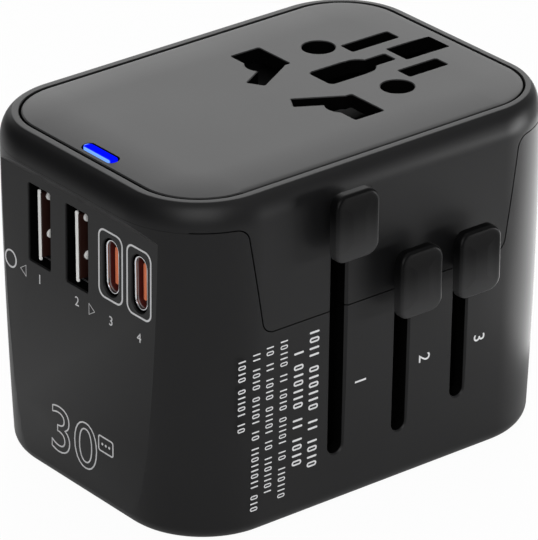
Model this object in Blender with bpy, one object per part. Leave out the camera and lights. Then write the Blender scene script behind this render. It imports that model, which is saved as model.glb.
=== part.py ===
"""Universal travel adapter, modelled as the separate pieces that it is assembled from.

Units are metres and +Z is up. The origin is the middle of the foot. The charging ports face -X,
the three sliders face -Y and the universal socket is in the top, towards +X.
Each plug module (carriage, pins, button, spring) slides down one channel of the inner frame,
until its pins stand out of the foot. The line pole is on the -Y side and the neutral pole on +Y.
"""

import math

import bmesh
import bpy
from mathutils import Vector

MM = 0.001
FIT = 0.3 * MM  # gap between pieces that touch or are pressed together
ARC_STEPS = 8  # flat faces round one quarter of a large corner
SMALL_ARC = 3  # the same for a small corner

# ---------------------------------------------------------------- casing
BODY_LENGTH = 75.8 * MM
BODY_DEPTH = 55.0 * MM
BODY_HEIGHT = 56.0 * MM
CORNER_RADIUS = 15.0 * MM
SIDE_FLARE = 1.2 * MM  # how much narrower each side is at the foot than at the seam
FOOT_FILLET = 2.5 * MM
TOP_EDGE = 2.5 * MM  # height over which the cap's rim rounds off
RIM_DROP = 0.3 * MM  # from the face plate down to the highest part of the rim
WALL = 2.2 * MM
FLOOR = 2.2 * MM
SEAM_DROP = 4.8 * MM  # from the top down to the seam
TONGUE_TOP_INSET = 12.2 * MM  # from the body's end to the side of the cap's tongue, at the seam
TONGUE_FOOT_INSET = 15.1 * MM  # the same at its lower edge
TONGUE_HEIGHT = 17.6 * MM  # from its lower edge up to the seam
TONGUE_CORNER = 2.0 * MM

# ---------------------------------------------------------------- face plate
RIM_ENDS = 2.2 * MM  # rim of the cap round the plate, at the two ends
RIM_SIDES = 2.85 * MM
PLATE_CORNER = 13.5 * MM
PLATE_THICKNESS = 2.2 * MM
LEDGE_WIDTH = 1.5 * MM
LEDGE_THICKNESS = 0.9 * MM
LIGHT_LENGTH = 7.4 * MM
LIGHT_WIDTH = 1.6 * MM
LIGHT_INSET = 5.6 * MM  # from the body's end to the light bar's middle
LIGHT_Y = -0.5 * MM
LIGHT_FLANGE = 0.8 * MM

# ---------------------------------------------------------------- universal socket
# Each shift is along X, from the line through the two round holes.
SOCKET_INSET = 21.23 * MM  # from the body's end to that line
EURO_RADIUS = 2.6 * MM
EURO_PITCH = 19.0 * MM
UK_HOLE_SHIFT = -9.97 * MM
UK_HOLE_WIDTH = 5.4 * MM
UK_HOLE_INNER = 7.4 * MM
UK_HOLE_OUTER = 15.1 * MM
HALF_ROUND_RADIUS = 2.9 * MM  # round relief that joins the UK hole
HALF_ROUND_SHIFT = -10.57 * MM
HALF_ROUND_Y = 9.7 * MM
SLANT_ANGLE = math.radians(30.0)
SLANT_WIDTH = 2.9 * MM
SLANT_LENGTH = 8.2 * MM
SLANT_SHIFT = -12.67 * MM  # middle of the slanted slot
SLANT_Y = 6.5 * MM
US_HOLE_SHIFT = 7.63 * MM
US_HOLE_WIDTH = 2.9 * MM
US_HOLE_NEUTRAL = 9.1 * MM
US_HOLE_LINE = 7.5 * MM
US_PITCH = 12.7 * MM
EARTH_HOLE_SHIFT = 11.98 * MM
EARTH_HOLE_LENGTH = 8.5 * MM
EARTH_HOLE_WIDTH = 5.0 * MM
BOTTLE_START_SHIFT = -7.37 * MM
BOTTLE_WIDTH = 5.6 * MM
BOTTLE_ROUND_SHIFT = 0.13 * MM
BOTTLE_ROUND_RADIUS = 2.7 * MM
BOTTLE_NECK_SHIFT = 6.33 * MM
BOTTLE_NECK_WIDTH = 2.65 * MM

# ---------------------------------------------------------------- sliders and buttons
BUTTON_WIDTH = 8.0 * MM
BUTTON_HEIGHT = 11.3 * MM
BUTTON_CORNER = 2.0 * MM
BUTTON_THICKNESS = 2.2 * MM
BUTTON_EDGE = 0.5 * MM
BUTTON_STANDOFF = 2.4 * MM  # from the slider face to the back of the button
BUTTON_TRAVEL = 1.0 * MM
NECK_HEIGHT = 5.0 * MM
NECK_PLAY = 0.3 * MM  # between the neck and its slot, all round
FOOT_WIDTH = 5.4 * MM
FOOT_THICKNESS = 1.6 * MM
LIP = 0.8 * MM  # thickness of the carriage's lips above and below the button's foot
SPRING_RADIUS = 1.6 * MM
SPRING_WIRE = 0.4 * MM
SPRING_POCKET = 2.2 * MM
TOWER_DEPTH = 2.9 * MM
BLOCK_HEIGHT = 9.4 * MM
FLOOR_CLEARANCE = 0.5 * MM  # carriage above the floor when fully out
ROOT = 6.0 * MM  # length of a pin held in its carriage

EU_SLOT_WIDTH, EU_SLOT_BASE = 2.75 * MM, 9.0 * MM
UK_SLOT_WIDTH, UK_SLOT_BASE = 2.65 * MM, 8.9 * MM
US_SLOT_WIDTH, US_SLOT_BASE = 2.6 * MM, 11.1 * MM
UK_SLIDER_SHIFT = -13.37 * MM  # the UK slider, from the line through the round holes
LEDGE_CLEARANCE = 0.4 * MM  # between the EU carriage and the plate's ledge
EU_HALF = 4.7 * MM  # half width of each carriage
UK_HALF = 4.7 * MM
US_HALF = 5.0 * MM
CARRIAGE_BACK = 13.5 * MM

EURO_PIN_RADIUS = 2.0 * MM
EURO_PIN_OUT = 19.0 * MM
UK_PIN_PITCH = 22.2 * MM
UK_PIN_WIDTH = 6.35 * MM
UK_PIN_THICKNESS = 3.97 * MM
UK_PIN_OUT = 17.7 * MM
UK_EARTH_AHEAD = 22.2 * MM  # from the line through the two live pins to the earth pin
UK_EARTH_WIDTH = 7.92 * MM
UK_EARTH_OUT = 22.7 * MM
UK_EARTH_REST = 1.4 * MM  # height of the earth pin's tip above the foot at rest
UK_PEG = 1.0 * MM  # step from a flat pin in to the peg that its carriage holds
ARM_FRONT = -3.2 * MM
ARM_BACK = 13.6 * MM
BRIDGE_FRONT = 14.3 * MM
BRIDGE_BACK = 19.5 * MM
BRIDGE_OVERLAP = 1.1 * MM  # from the bridge's end to the middle of the earth pin
BLADE_WIDTH = 6.35 * MM
BLADE_THICKNESS = 1.5 * MM
BLADE_OUT = 17.5 * MM
BLADE_REST = 4.3 * MM  # height of the blades' tips above the foot at rest
BLADE_TWIST = math.radians(30.0)
TURRET_RADIUS = 4.0 * MM
TURRET_HEIGHT = 4.0 * MM
TURRET_PIVOT = 1.5 * MM
TURRET_PIVOT_LENGTH = 4.0 * MM
PIN_OPENING = 0.4 * MM  # clearance of each pin in the floor
PIN_TIP = 0.7 * MM

# ---------------------------------------------------------------- ports
PANEL_INSET = 1.7 * MM  # from the body's end to the flat port panel, at its top
PANEL_LEAN = 0.6 * MM  # how much further out its foot is
PANEL_SLOPE = 1.5 * MM  # height of the slope from the panel out to the seam
PANEL_BASE = 20.0 * MM  # the thicker wall behind the panel starts here
PANEL_THICKNESS = 2.0 * MM
PANEL_SIDE = 9.1 * MM  # from the thicker wall to the body's side
PORT_DROP = 10.25 * MM  # from the seam down to the middle of the ports
A_PORTS = (9.8 * MM, 0.4 * MM)
C_PORTS = (-8.0 * MM, -14.9 * MM)
A_WIDTH, A_HEIGHT, A_WALL = 5.5 * MM, 12.7 * MM, 0.35 * MM
C_WIDTH, C_HEIGHT, C_WALL = 3.8 * MM, 9.3 * MM, 0.3 * MM
A_TONGUE = (1.9 * MM, 11.0 * MM)
A_TONGUE_OFFSET = 0.5 * MM
A_TONGUE_INSET = 0.5 * MM
C_TONGUE = (0.75 * MM, 6.7 * MM)
C_LIP_INSET = 0.3 * MM
C_TONGUE_INSET = 1.0 * MM

# ---------------------------------------------------------------- inner frame and socket block
CHANNEL_PLAY = 0.35 * MM  # between a carriage and the wall that guides it
EU_OUTER_WALL = 2.15 * MM
EU_INNER_WALL = 2.2 * MM  # between the EU and UK channels
US_GUIDE_WALL = 0.95 * MM  # between the UK and US channels
EU_BACK_WALL = 1.7 * MM
GUIDE_FRONT = 0.6 * MM  # from the casing's inner face, at the sliders, to a guide wall
DECK_PLAY = 0.7 * MM  # from the carriages at rest up to the deck
DECK_THICKNESS = 1.5 * MM
DECK_BACK = 20.8 * MM
DECK_END_INSET = 2.4 * MM  # from the end of the socket block to the end of the deck
FRAME_DROP = 3.0 * MM  # from the plate's ledge down to the frame's top
LEG_INSET, LEG_GAP, LEG_RADIUS = 9.9 * MM, 1.2 * MM, 3.0 * MM
SHORT_LEG_TOP = 25.9 * MM
ARM_HEIGHT = 5.0 * MM
ARM_WIDTH = 2.0 * MM
PILLAR_TOP = 9.0 * MM
PILLAR_RADIUS = 3.3 * MM
SCREW_HEAD_RADIUS = 2.2 * MM
SCREW_HEAD = 1.8 * MM
SCREW_RECESS = 1.0 * MM
SCREW_RADIUS = 1.1 * MM
SCREW_LENGTH = 14.0 * MM
BLOCK_LENGTH, BLOCK_END_GAP = 34.6 * MM, 2.3 * MM  # the gap is to the casing's end wall
BLOCK_CORNER = 3.5 * MM
BLOCK_FLOOR = 1.0 * MM
SHUTTER_ROOM = 4.0 * MM  # from the block's top up to the plate
WELL_Y0 = 3.5 * MM
WELL_FAR_WALL, WELL_NEAR_WALL, WELL_SIDE_WALL = 1.6 * MM, 3.0 * MM, 1.4 * MM
EARTH_WELL_HALF = 2.9 * MM
WELL_WALL = 0.6 * MM
RAIL = 0.7 * MM
SHUTTER_LENGTH = 31.0 * MM
SHUTTER_OVERHANG = 2.3 * MM  # past the block's end, towards its spring
SHUTTER_EDGE = 1.4 * MM  # beside the UK holes
SHUTTER_PLAY = 0.4 * MM  # between the shutter and its rails
SHUTTER_THICKNESS = 1.5 * MM
SHUTTER_TRAVEL = 5.5 * MM
SHUTTER_CHANNEL = 3.1 * MM
SHUTTER_SPRING_RADIUS = 1.0 * MM
ANCHOR_HALF = 2.5 * MM
LEAF = 0.5 * MM  # thickness of the contacts' brass
LEAF_DROP = 2.3 * MM  # from the block's top down to the leaves
CONTACT_Y0 = 5.1 * MM
CONTACT_SIDE = 1.8 * MM  # from a strip to the outer wall of its well
LINE_TAB_INSET, NEUTRAL_TAB_INSET = 1.8 * MM, 11.6 * MM  # from the ends of the wells

# ---------------------------------------------------------------- electronics
BOARD = 1.4 * MM
MAIN_BOARD_HALF = 17.0 * MM
PORT_BOARD_C_EDGE, PORT_BOARD_A_EDGE = 3.7 * MM, 4.7 * MM  # past the outer ports' middles
PORT_BOARD_DROP = 3.2 * MM  # from the plate's ledge down to the port board's top
PARTS_GAP = 0.4 * MM  # between the port board and the output capacitor
CORE_LENGTH, CORE_DEPTH, CORE_HEIGHT, CORE_FOOT = 14.0 * MM, 13.0 * MM, 14.0 * MM, 1.0 * MM
WINDING_LENGTH, WINDING_DEPTH, WINDING_HEIGHT = 10.0 * MM, 8.8 * MM, 9.0 * MM
WINDING_CORNER = 3.0 * MM
TRANSFORMER_Y = 8.0 * MM
BULK_RADIUS, BULK_HEIGHT, BULK_Y = 5.0 * MM, 18.0 * MM, -5.6 * MM
FILTER_RADIUS, FILTER_HEIGHT, FILTER_Y = 3.1 * MM, 12.0 * MM, -4.6 * MM
OUTPUT_RADIUS, OUTPUT_HEIGHT, OUTPUT_Y = 2.6 * MM, 8.0 * MM, -9.0 * MM
CHOKE_RADIUS, CHOKE_HEIGHT, CHOKE_Y = 2.5 * MM, 5.0 * MM, 1.0 * MM
CHIP_SIZE, CHIP_HEIGHT, CHIP_Y = 5.0 * MM, 1.0 * MM, 7.0 * MM
FUSE_RADIUS, FUSE_LENGTH, FUSE_Y = 1.6 * MM, 10.0 * MM, -12.7 * MM
LEAD_RADIUS = 0.6 * MM
NEUTRAL_LEAD_INSET, LINE_LEAD_INSET = 1.6 * MM, 4.8 * MM  # where each meets the main board
LEAD_BOARD_EDGE = 2.2 * MM
LEAD_DROP = 6.0 * MM  # how far a lead has come down behind the EU channel


def side_inset(z):
    """How far the side stands in at height z from where it is at the seam."""
    drop = max(SEAM_HEIGHT - z, 0.0) / SEAM_HEIGHT
    return SIDE_FLARE * drop * drop


# ---------------------------------------------------------------- values that follow
SEAM_HEIGHT = BODY_HEIGHT - SEAM_DROP
HALF_LENGTH = BODY_LENGTH / 2
HALF_DEPTH = BODY_DEPTH / 2
FRONT = -HALF_DEPTH
INNER_FRONT = FRONT + WALL + side_inset(min(EU_SLOT_BASE, UK_SLOT_BASE, US_SLOT_BASE))
PLATE_BASE = BODY_HEIGHT - PLATE_THICKNESS
PLATE_HALF_LENGTH = HALF_LENGTH - RIM_ENDS
PLATE_HALF_DEPTH = HALF_DEPTH - RIM_SIDES
POCKET_FLOOR = PLATE_BASE - FIT
LEDGE_BASE = POCKET_FLOOR - LEDGE_THICKNESS
TONGUE_TOP = HALF_LENGTH - TONGUE_TOP_INSET
TONGUE_FOOT = HALF_LENGTH - TONGUE_FOOT_INSET
TONGUE_BASE = SEAM_HEIGHT - TONGUE_HEIGHT
FOOT_FRONT = INNER_FRONT + 2 * FIT
FOOT_BACK = FOOT_FRONT + FOOT_THICKNESS
CARRIAGE_FRONT = FOOT_BACK + BUTTON_TRAVEL + FIT
TOWER_BACK = CARRIAGE_FRONT + TOWER_DEPTH
DECK_FRONT = TOWER_BACK + FIT
CARRIAGE_DOWN = FLOOR + FLOOR_CLEARANCE
SOCKET_X = HALF_LENGTH - SOCKET_INSET
UK_HOLE_X = SOCKET_X + UK_HOLE_SHIFT
HALF_ROUND_X = SOCKET_X + HALF_ROUND_SHIFT
SLANT_X = SOCKET_X + SLANT_SHIFT
US_HOLE_X = SOCKET_X + US_HOLE_SHIFT
EARTH_HOLE_X = SOCKET_X + EARTH_HOLE_SHIFT
BOTTLE_START = SOCKET_X + BOTTLE_START_SHIFT
BOTTLE_ROUND_X = SOCKET_X + BOTTLE_ROUND_SHIFT
BOTTLE_NECK_END = SOCKET_X + BOTTLE_NECK_SHIFT
EURO_Y = EURO_PITCH / 2
UK_Y = UK_PIN_PITCH / 2
US_Y = US_PITCH / 2
UK_X = SOCKET_X + UK_SLIDER_SHIFT
EU_X = UK_X - UK_HALF - EU_INNER_WALL - 2 * CHANNEL_PLAY - EU_HALF
US_X = UK_X + UK_HALF + US_GUIDE_WALL + 2 * CHANNEL_PLAY + US_HALF
SLOT_END = NECK_HEIGHT / 2 + NECK_PLAY  # from a button's middle to the end of its slot
UK_TRAVEL = UK_EARTH_OUT + UK_EARTH_REST
US_TRAVEL = BLADE_OUT + BLADE_REST
EU_BUTTON_Z = LEDGE_BASE - LEDGE_CLEARANCE - LIP - NECK_HEIGHT / 2 - FIT
UK_BUTTON_Z = UK_SLOT_BASE + SLOT_END + UK_TRAVEL
US_BUTTON_Z = US_SLOT_BASE + SLOT_END + US_TRAVEL
EARTH_PIN_X = UK_X + UK_EARTH_AHEAD
BRIDGE_END = EARTH_PIN_X - BRIDGE_OVERLAP
DECK_BASE = CARRIAGE_DOWN + max(UK_TRAVEL, US_TRAVEL) + BLOCK_HEIGHT + DECK_PLAY
DECK_TOP = DECK_BASE + DECK_THICKNESS
FRAME_TOP = LEDGE_BASE - FRAME_DROP
LEG_X = HALF_LENGTH - LEG_INSET
LEG_Y = ARM_BACK + LEG_GAP + LEG_RADIUS
BLOCK_BASE = DECK_TOP + FIT
BLOCK_TOP = PLATE_BASE - SHUTTER_ROOM
BLOCK_X1 = HALF_LENGTH - WALL - BLOCK_END_GAP
BLOCK_X0 = BLOCK_X1 - BLOCK_LENGTH
SHUTTER_BASE = BLOCK_TOP + FIT
SHUTTER_HALF = UK_HOLE_OUTER + SHUTTER_EDGE
SHUTTER_X0 = BLOCK_X0 - SHUTTER_OVERHANG
SHUTTER_X1 = SHUTTER_X0 + SHUTTER_LENGTH
BLOCK_HALF = SHUTTER_HALF + SHUTTER_PLAY + RAIL
DECK_END = BLOCK_X1 - DECK_END_INSET
WELL_X0 = BLOCK_X0 + WELL_FAR_WALL
WELL_X1 = BLOCK_X1 - WELL_NEAR_WALL
WELL_Y1 = BLOCK_HALF - WELL_SIDE_WALL
CONTACT_Y1 = WELL_Y1 - CONTACT_SIDE
LINE_TAB_X = WELL_X1 - LINE_TAB_INSET
NEUTRAL_TAB_X = WELL_X0 + NEUTRAL_TAB_INSET
PANEL_X = -HALF_LENGTH + PANEL_INSET
PANEL_HALF = HALF_DEPTH - PANEL_SIDE
PORT_Z = SEAM_HEIGHT - PORT_DROP
BOARD_BASE = SHORT_LEG_TOP + FIT
BOARD_TOP = BOARD_BASE + BOARD
EU_LEFT = EU_X - EU_HALF - CHANNEL_PLAY
EU_RIGHT = EU_X + EU_HALF + CHANNEL_PLAY
UK_LEFT = UK_X - UK_HALF - CHANNEL_PLAY
UK_RIGHT = UK_X + UK_HALF + CHANNEL_PLAY
US_LEFT = US_X - US_HALF - CHANNEL_PLAY
US_RIGHT = US_X + US_HALF + CHANNEL_PLAY
PANEL_BACK = PANEL_X + PANEL_THICKNESS
BOARD_X0 = PANEL_BACK + FIT
BOARD_X1 = EU_LEFT - EU_OUTER_WALL - FIT
PORT_BACK = BOARD_X1 - 2 * OUTPUT_RADIUS - PARTS_GAP - BOARD - 2 * FIT
PORT_BOARD_Y0 = C_PORTS[-1] - PORT_BOARD_C_EDGE
PORT_BOARD_Y1 = A_PORTS[0] + PORT_BOARD_A_EDGE
PORT_BOARD_TOP = LEDGE_BASE - PORT_BOARD_DROP


def clear_scene():
    for obj in list(bpy.data.objects):
        bpy.data.objects.remove(obj)


def material(name, colour, roughness, metallic=0.0):
    made = bpy.data.materials.new(name)
    made.use_nodes = True
    shader = made.node_tree.nodes["Principled BSDF"]
    shader.inputs["Base Color"].default_value = (*colour, 1.0)
    shader.inputs["Roughness"].default_value = roughness
    shader.inputs["Metallic"].default_value = metallic
    return made


def finishes():
    return {
        "casing": material("casing_black", (0.035, 0.035, 0.037), 0.45),
        "frame": material("frame_black", (0.02, 0.02, 0.02), 0.6),
        "button": material("button_black", (0.03, 0.03, 0.03), 0.4),
        "light": material("light_blue", (0.0, 0.02, 0.9), 0.3),
        "brass": material("contact_brass", (0.75, 0.55, 0.25), 0.3, 1.0),
        "nickel": material("pin_nickel", (0.75, 0.73, 0.70), 0.25, 1.0),
        "steel": material("spring_steel", (0.55, 0.55, 0.56), 0.3, 1.0),
        "board": material("board_green", (0.02, 0.16, 0.07), 0.5),
        "orange": material("tongue_orange", (0.9, 0.25, 0.08), 0.5),
        "tongue": material("tongue_black", (0.05, 0.02, 0.02), 0.5),
        "ceramic": material("fuse_ceramic", (0.85, 0.83, 0.78), 0.4),
        "copper": material("winding_copper", (0.7, 0.3, 0.12), 0.4, 1.0),
        "ferrite": material("ferrite_grey", (0.08, 0.08, 0.09), 0.7),
        "can": material("capacitor_can", (0.6, 0.6, 0.62), 0.3, 1.0),
        "brown": material("lead_brown", (0.2, 0.08, 0.03), 0.5),
        "blue": material("lead_blue", (0.03, 0.1, 0.45), 0.5),
    }


# ---------------------------------------------------------------- outlines, each a list of (u, v)
def rounded_rect(half_u, half_v, radius, steps=SMALL_ARC, centre=(0.0, 0.0)):
    """Counter-clockwise outline. Every such outline with the same steps has as many points."""
    points = []
    for quarter, (su, sv) in enumerate(((1, 1), (-1, 1), (-1, -1), (1, -1))):
        cu = centre[0] + su * (half_u - radius)
        cv = centre[1] + sv * (half_v - radius)
        for step in range(steps + 1):
            angle = math.pi / 2 * (quarter + step / steps)
            points.append((cu + radius * math.cos(angle), cv + radius * math.sin(angle)))
    return points


def rectangle(u0, u1, v0, v1):
    return [(u0, v0), (u1, v0), (u1, v1), (u0, v1)]


def circle(radius, centre=(0.0, 0.0), count=24):
    turns = [2 * math.pi * k / count for k in range(count)]
    return [(centre[0] + radius * math.cos(a), centre[1] + radius * math.sin(a)) for a in turns]


def rounded_corner(before, corner, after, radius, steps):
    """The arc that replaces one corner of a polygon."""
    at = Vector(corner)
    back = (Vector(before) - at).normalized()
    ahead = (Vector(after) - at).normalized()
    half = back.angle(ahead) / 2
    middle = at + (back + ahead).normalized() * radius / math.sin(half)
    start = at + back * radius / math.tan(half) - middle
    end = at + ahead * radius / math.tan(half) - middle
    points = []
    for step in range(steps + 1):
        share = step / steps
        reach = start.slerp(end, share).normalized() * radius
        points.append(tuple(middle + reach))
    return points


def rounded_polygon(corners, steps=4):
    """corners is a list of (u, v, radius); a radius of 0 keeps the corner sharp."""
    points = []
    for k, (u, v, radius) in enumerate(corners):
        if not radius:
            points.append((u, v))
            continue
        before = corners[k - 1][:2]
        after = corners[(k + 1) % len(corners)][:2]
        points += rounded_corner(before, (u, v), after, radius, steps)
    return points


def turned_slot(half_length, half_width, twist, steps=4):
    """The opening that a blade sweeps as it turns from 0 to twist about its middle."""
    reach = math.hypot(half_length, half_width)
    lean = math.atan2(half_width, half_length)
    waist = Vector((-half_width * math.tan(twist / 2), half_width))
    arc = [-lean + (twist + 2 * lean) * k / steps for k in range(steps + 1)]
    near = [(reach * math.cos(a), reach * math.sin(a)) for a in arc] + [tuple(waist)]
    return near + [(-u, -v) for u, v in near]


# ---------------------------------------------------------------- solids, each a bmesh
AXES = {
    "X": lambda u, v, w: (w, u, v),
    "Y": lambda u, v, w: (v, w, u),
    "Z": lambda u, v, w: (u, v, w),
}


def loft(levels, axis="Z"):
    """A closed solid through outlines with equal counts: levels is a list of (outline, w)."""
    bm = bmesh.new()
    place = AXES[axis]
    rings = [[bm.verts.new(place(u, v, w)) for u, v in outline] for outline, w in levels]
    for lower, upper in zip(rings, rings[1:]):
        for k in range(len(lower)):
            after = (k + 1) % len(lower)
            bm.faces.new((lower[k], lower[after], upper[after], upper[k]))
    bm.faces.new(reversed(rings[0]))
    bm.faces.new(rings[-1])
    bmesh.ops.recalc_face_normals(bm, faces=bm.faces)
    return bm


def prism(outline, w0, w1, axis="Z"):
    return loft([(outline, w0), (outline, w1)], axis)


def box(x0, x1, y0, y1, z0, z1):
    return prism(rectangle(x0, x1, y0, y1), z0, z1)


def face_outline(outline):
    """Turns an (x, z) outline into the (z, x) order that the Y axis takes."""
    return [(v, u) for u, v in outline]


def coil(radius, wire, w0, w1, turns, axis, centre, sides=5, per_turn=10):
    """A round-wire compression spring along an axis, centred on (u, v)."""
    bm = bmesh.new()
    place = AXES[axis]
    count = turns * per_turn
    low, high = w0 + wire, w1 - wire
    rings = []
    for k in range(count + 1):
        angle = 2 * math.pi * k / per_turn
        along = low + (high - low) * k / count
        ring = []
        for side in range(sides):
            tilt = 2 * math.pi * side / sides
            reach = radius - wire + wire * math.cos(tilt)
            u = centre[0] + reach * math.cos(angle)
            v = centre[1] + reach * math.sin(angle)
            ring.append(bm.verts.new(place(u, v, along + wire * math.sin(tilt))))
        rings.append(ring)
    for lower, upper in zip(rings, rings[1:]):
        for k in range(sides):
            after = (k + 1) % sides
            bm.faces.new((lower[k], lower[after], upper[after], upper[k]))
    bm.faces.new(reversed(rings[0]))
    bm.faces.new(rings[-1])
    bmesh.ops.recalc_face_normals(bm, faces=bm.faces)
    return bm


def together(*solids):
    """One bmesh of several solids that don't touch each other."""
    joined = bmesh.new()
    for solid in solids:
        spare = bpy.data.meshes.new("spare")
        solid.to_mesh(spare)
        solid.free()
        joined.from_mesh(spare)
        bpy.data.meshes.remove(spare)
    return joined


# ---------------------------------------------------------------- objects
def mesh_object(name, solid, origin=(0.0, 0.0, 0.0), parent=None):
    at = Vector(origin)
    bmesh.ops.translate(solid, verts=solid.verts, vec=-at)
    mesh = bpy.data.meshes.new(name)
    solid.to_mesh(mesh)
    solid.free()
    obj = bpy.data.objects.new(name, mesh)
    bpy.context.scene.collection.objects.link(obj)
    obj.parent = parent
    obj.location = at - parent.location if parent else at
    return obj


def combine(obj, operation, solid):
    """Adds an EXACT Boolean with a hidden helper that holds the solid."""
    count = len(obj.modifiers) + 1
    helper = mesh_object(f"{obj.name}_helper_{count}", solid)
    helper.hide_render = True
    helper.display_type = "WIRE"
    modifier = obj.modifiers.new(f"{operation.lower()}_{count}", "BOOLEAN")
    modifier.operation = operation
    modifier.solver = "EXACT"
    modifier.object = helper
    return helper


def piece(name, solid, finish, joins=(), cuts=(), origin=(0.0, 0.0, 0.0), parent=None):
    obj = mesh_object(name, solid, origin, parent)
    obj.data.materials.append(finish)
    obj.data.shade_smooth()
    obj.data.set_sharp_from_angle(angle=math.radians(35))
    for solid_to_join in joins:
        combine(obj, "UNION", solid_to_join)
    for solid_to_cut in cuts:
        combine(obj, "DIFFERENCE", solid_to_cut)
    return obj


def carrier(name, x, y, z):
    """The empty that a plug module's pieces are parented to."""
    empty = bpy.data.objects.new(name, None)
    empty.location = (x, y, z)
    bpy.context.scene.collection.objects.link(empty)
    return empty


# ---------------------------------------------------------------- casing
def body_ring(inset):
    radius = CORNER_RADIUS - inset
    return rounded_rect(HALF_LENGTH - inset, HALF_DEPTH - inset, radius, ARC_STEPS)


def plate_ring(grow):
    return rounded_rect(
        PLATE_HALF_LENGTH + grow, PLATE_HALF_DEPTH + grow, PLATE_CORNER + grow, ARC_STEPS
    )


def rim_ring(share):
    """The cap's outline between its side, at share 0, and the edge of the plate's pocket, at 1."""
    pairs = zip(body_ring(0.0), plate_ring(FIT))
    return [(u + (x - u) * share, v + (y - v) * share) for (u, v), (x, y) in pairs]


def casing_levels():
    """The casing's skin from the middle of the foot, up outside, over the rim and down inside."""
    levels = []
    for step in range(4):
        angle = math.pi / 2 * step / 3
        z = FOOT_FILLET * (1 - math.cos(angle))
        inset = side_inset(z) + FOOT_FILLET * (1 - math.sin(angle))
        levels.append((body_ring(inset), z))
    for share in (0.3, 0.6, 1.0):
        z = SEAM_HEIGHT * share
        levels.append((body_ring(side_inset(z)), z))
    for step in range(5):
        angle = math.pi / 2 * step / 4
        z = BODY_HEIGHT - RIM_DROP - TOP_EDGE * (1 - math.sin(angle))
        levels.append((rim_ring(1 - math.cos(angle)), z))
    levels.append((plate_ring(FIT), POCKET_FLOOR))
    levels.append((plate_ring(-LEDGE_WIDTH), POCKET_FLOOR))
    levels.append((plate_ring(-LEDGE_WIDTH), LEDGE_BASE))
    levels.append((body_ring(WALL), LEDGE_BASE))
    for share in (0.6, 0.3):
        z = SEAM_HEIGHT * share
        levels.append((body_ring(side_inset(z) + WALL), z))
    levels.append((body_ring(side_inset(FLOOR) + WALL), FLOOR))
    return levels


def tongue(grow):
    """The front region that belongs to the cap below the seam, widened by grow all round."""
    top = SEAM_HEIGHT + WALL
    lean = (TONGUE_TOP - TONGUE_FOOT) / (SEAM_HEIGHT - TONGUE_BASE)
    half_top = TONGUE_FOOT + lean * (top - TONGUE_BASE) + grow
    half_foot = TONGUE_FOOT + grow
    corner = TONGUE_CORNER + grow
    base = TONGUE_BASE - grow
    feet = [(-half_foot, base, corner), (half_foot, base, corner)]
    outline = rounded_polygon([*feet, (half_top, top, 0.0), (-half_top, top, 0.0)])
    return prism(face_outline(outline), FRONT - WALL, FRONT + CORNER_RADIUS, "Y")


def above_seam(grow):
    reach = BODY_LENGTH
    return box(-reach, reach, -reach, reach, SEAM_HEIGHT - grow, BODY_HEIGHT + WALL)


def slot_cutter(x, width, base, button_z):
    top = button_z + SLOT_END
    middle = ((base + top) / 2, x)
    outline = rounded_rect((top - base) / 2, width / 2, width / 2, 4, middle)
    return prism(outline, FRONT - WALL, INNER_FRONT + WALL, "Y")


def slot_cutters():
    return together(
        slot_cutter(EU_X, EU_SLOT_WIDTH, EU_SLOT_BASE, EU_BUTTON_Z),
        slot_cutter(UK_X, UK_SLOT_WIDTH, UK_SLOT_BASE, UK_BUTTON_Z),
        slot_cutter(US_X, US_SLOT_WIDTH, US_SLOT_BASE, US_BUTTON_Z),
    )


def panel_backing():
    """Thickens the end wall behind the flat port panel."""
    top = SEAM_HEIGHT - PANEL_SLOPE
    return box(PANEL_X + FIT, PANEL_BACK, -PANEL_HALF, PANEL_HALF, PANEL_BASE, top)


def panel_cutter():
    """Leaves the port panel flat, with a slope out to the seam over it."""
    outside = -HALF_LENGTH - WALL
    slope = (-HALF_LENGTH - FIT) - PANEL_X
    rise = PANEL_SLOPE * (outside - PANEL_X) / slope
    foot = SEAM_HEIGHT - PANEL_SLOPE
    outline = [(outside, 0.0), (PANEL_X - PANEL_LEAN, 0.0), (PANEL_X, foot), (outside, foot + rise)]
    return prism(face_outline(outline), -BODY_DEPTH, BODY_DEPTH, "Y")


def port_cutters():
    x0, x1 = PANEL_X - WALL, PANEL_BACK + WALL
    holes = []
    for y in A_PORTS:
        outline = rounded_rect(A_WIDTH / 2, A_HEIGHT / 2, 0.3 * MM, SMALL_ARC, (y, PORT_Z))
        holes.append(prism(outline, x0, x1, "X"))
    for y in C_PORTS:
        outline = rounded_rect(C_WIDTH / 2, C_HEIGHT / 2, C_WIDTH / 2, 5, (y, PORT_Z))
        holes.append(prism(outline, x0, x1, "X"))
    return together(*holes)


def floor_cutters():
    """The openings in the foot that the pins come out of."""
    z0, z1 = -FLOOR, 2 * FLOOR
    holes = []
    for side in (-1, 1):
        round_hole = circle(EURO_PIN_RADIUS + PIN_OPENING, (EU_X, side * EURO_Y))
        holes.append(prism(round_hole, z0, z1))
        half_u = UK_PIN_THICKNESS / 2 + PIN_OPENING
        half_v = UK_PIN_WIDTH / 2 + PIN_OPENING
        holes.append(prism(rounded_rect(half_u, half_v, PIN_OPENING, 2, (UK_X, side * UK_Y)), z0, z1))
        sweep = turned_slot(BLADE_WIDTH / 2 + PIN_OPENING, BLADE_THICKNESS / 2 + PIN_OPENING, BLADE_TWIST)
        placed = [(US_X + u, side * (US_Y + v)) for u, v in sweep]
        holes.append(prism(placed, z0, z1))
    half_u = UK_EARTH_WIDTH / 2 + PIN_OPENING
    half_v = UK_PIN_THICKNESS / 2 + PIN_OPENING
    holes.append(prism(rounded_rect(half_u, half_v, PIN_OPENING, 2, (EARTH_PIN_X, 0.0)), z0, z1))
    return together(*holes)


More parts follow.
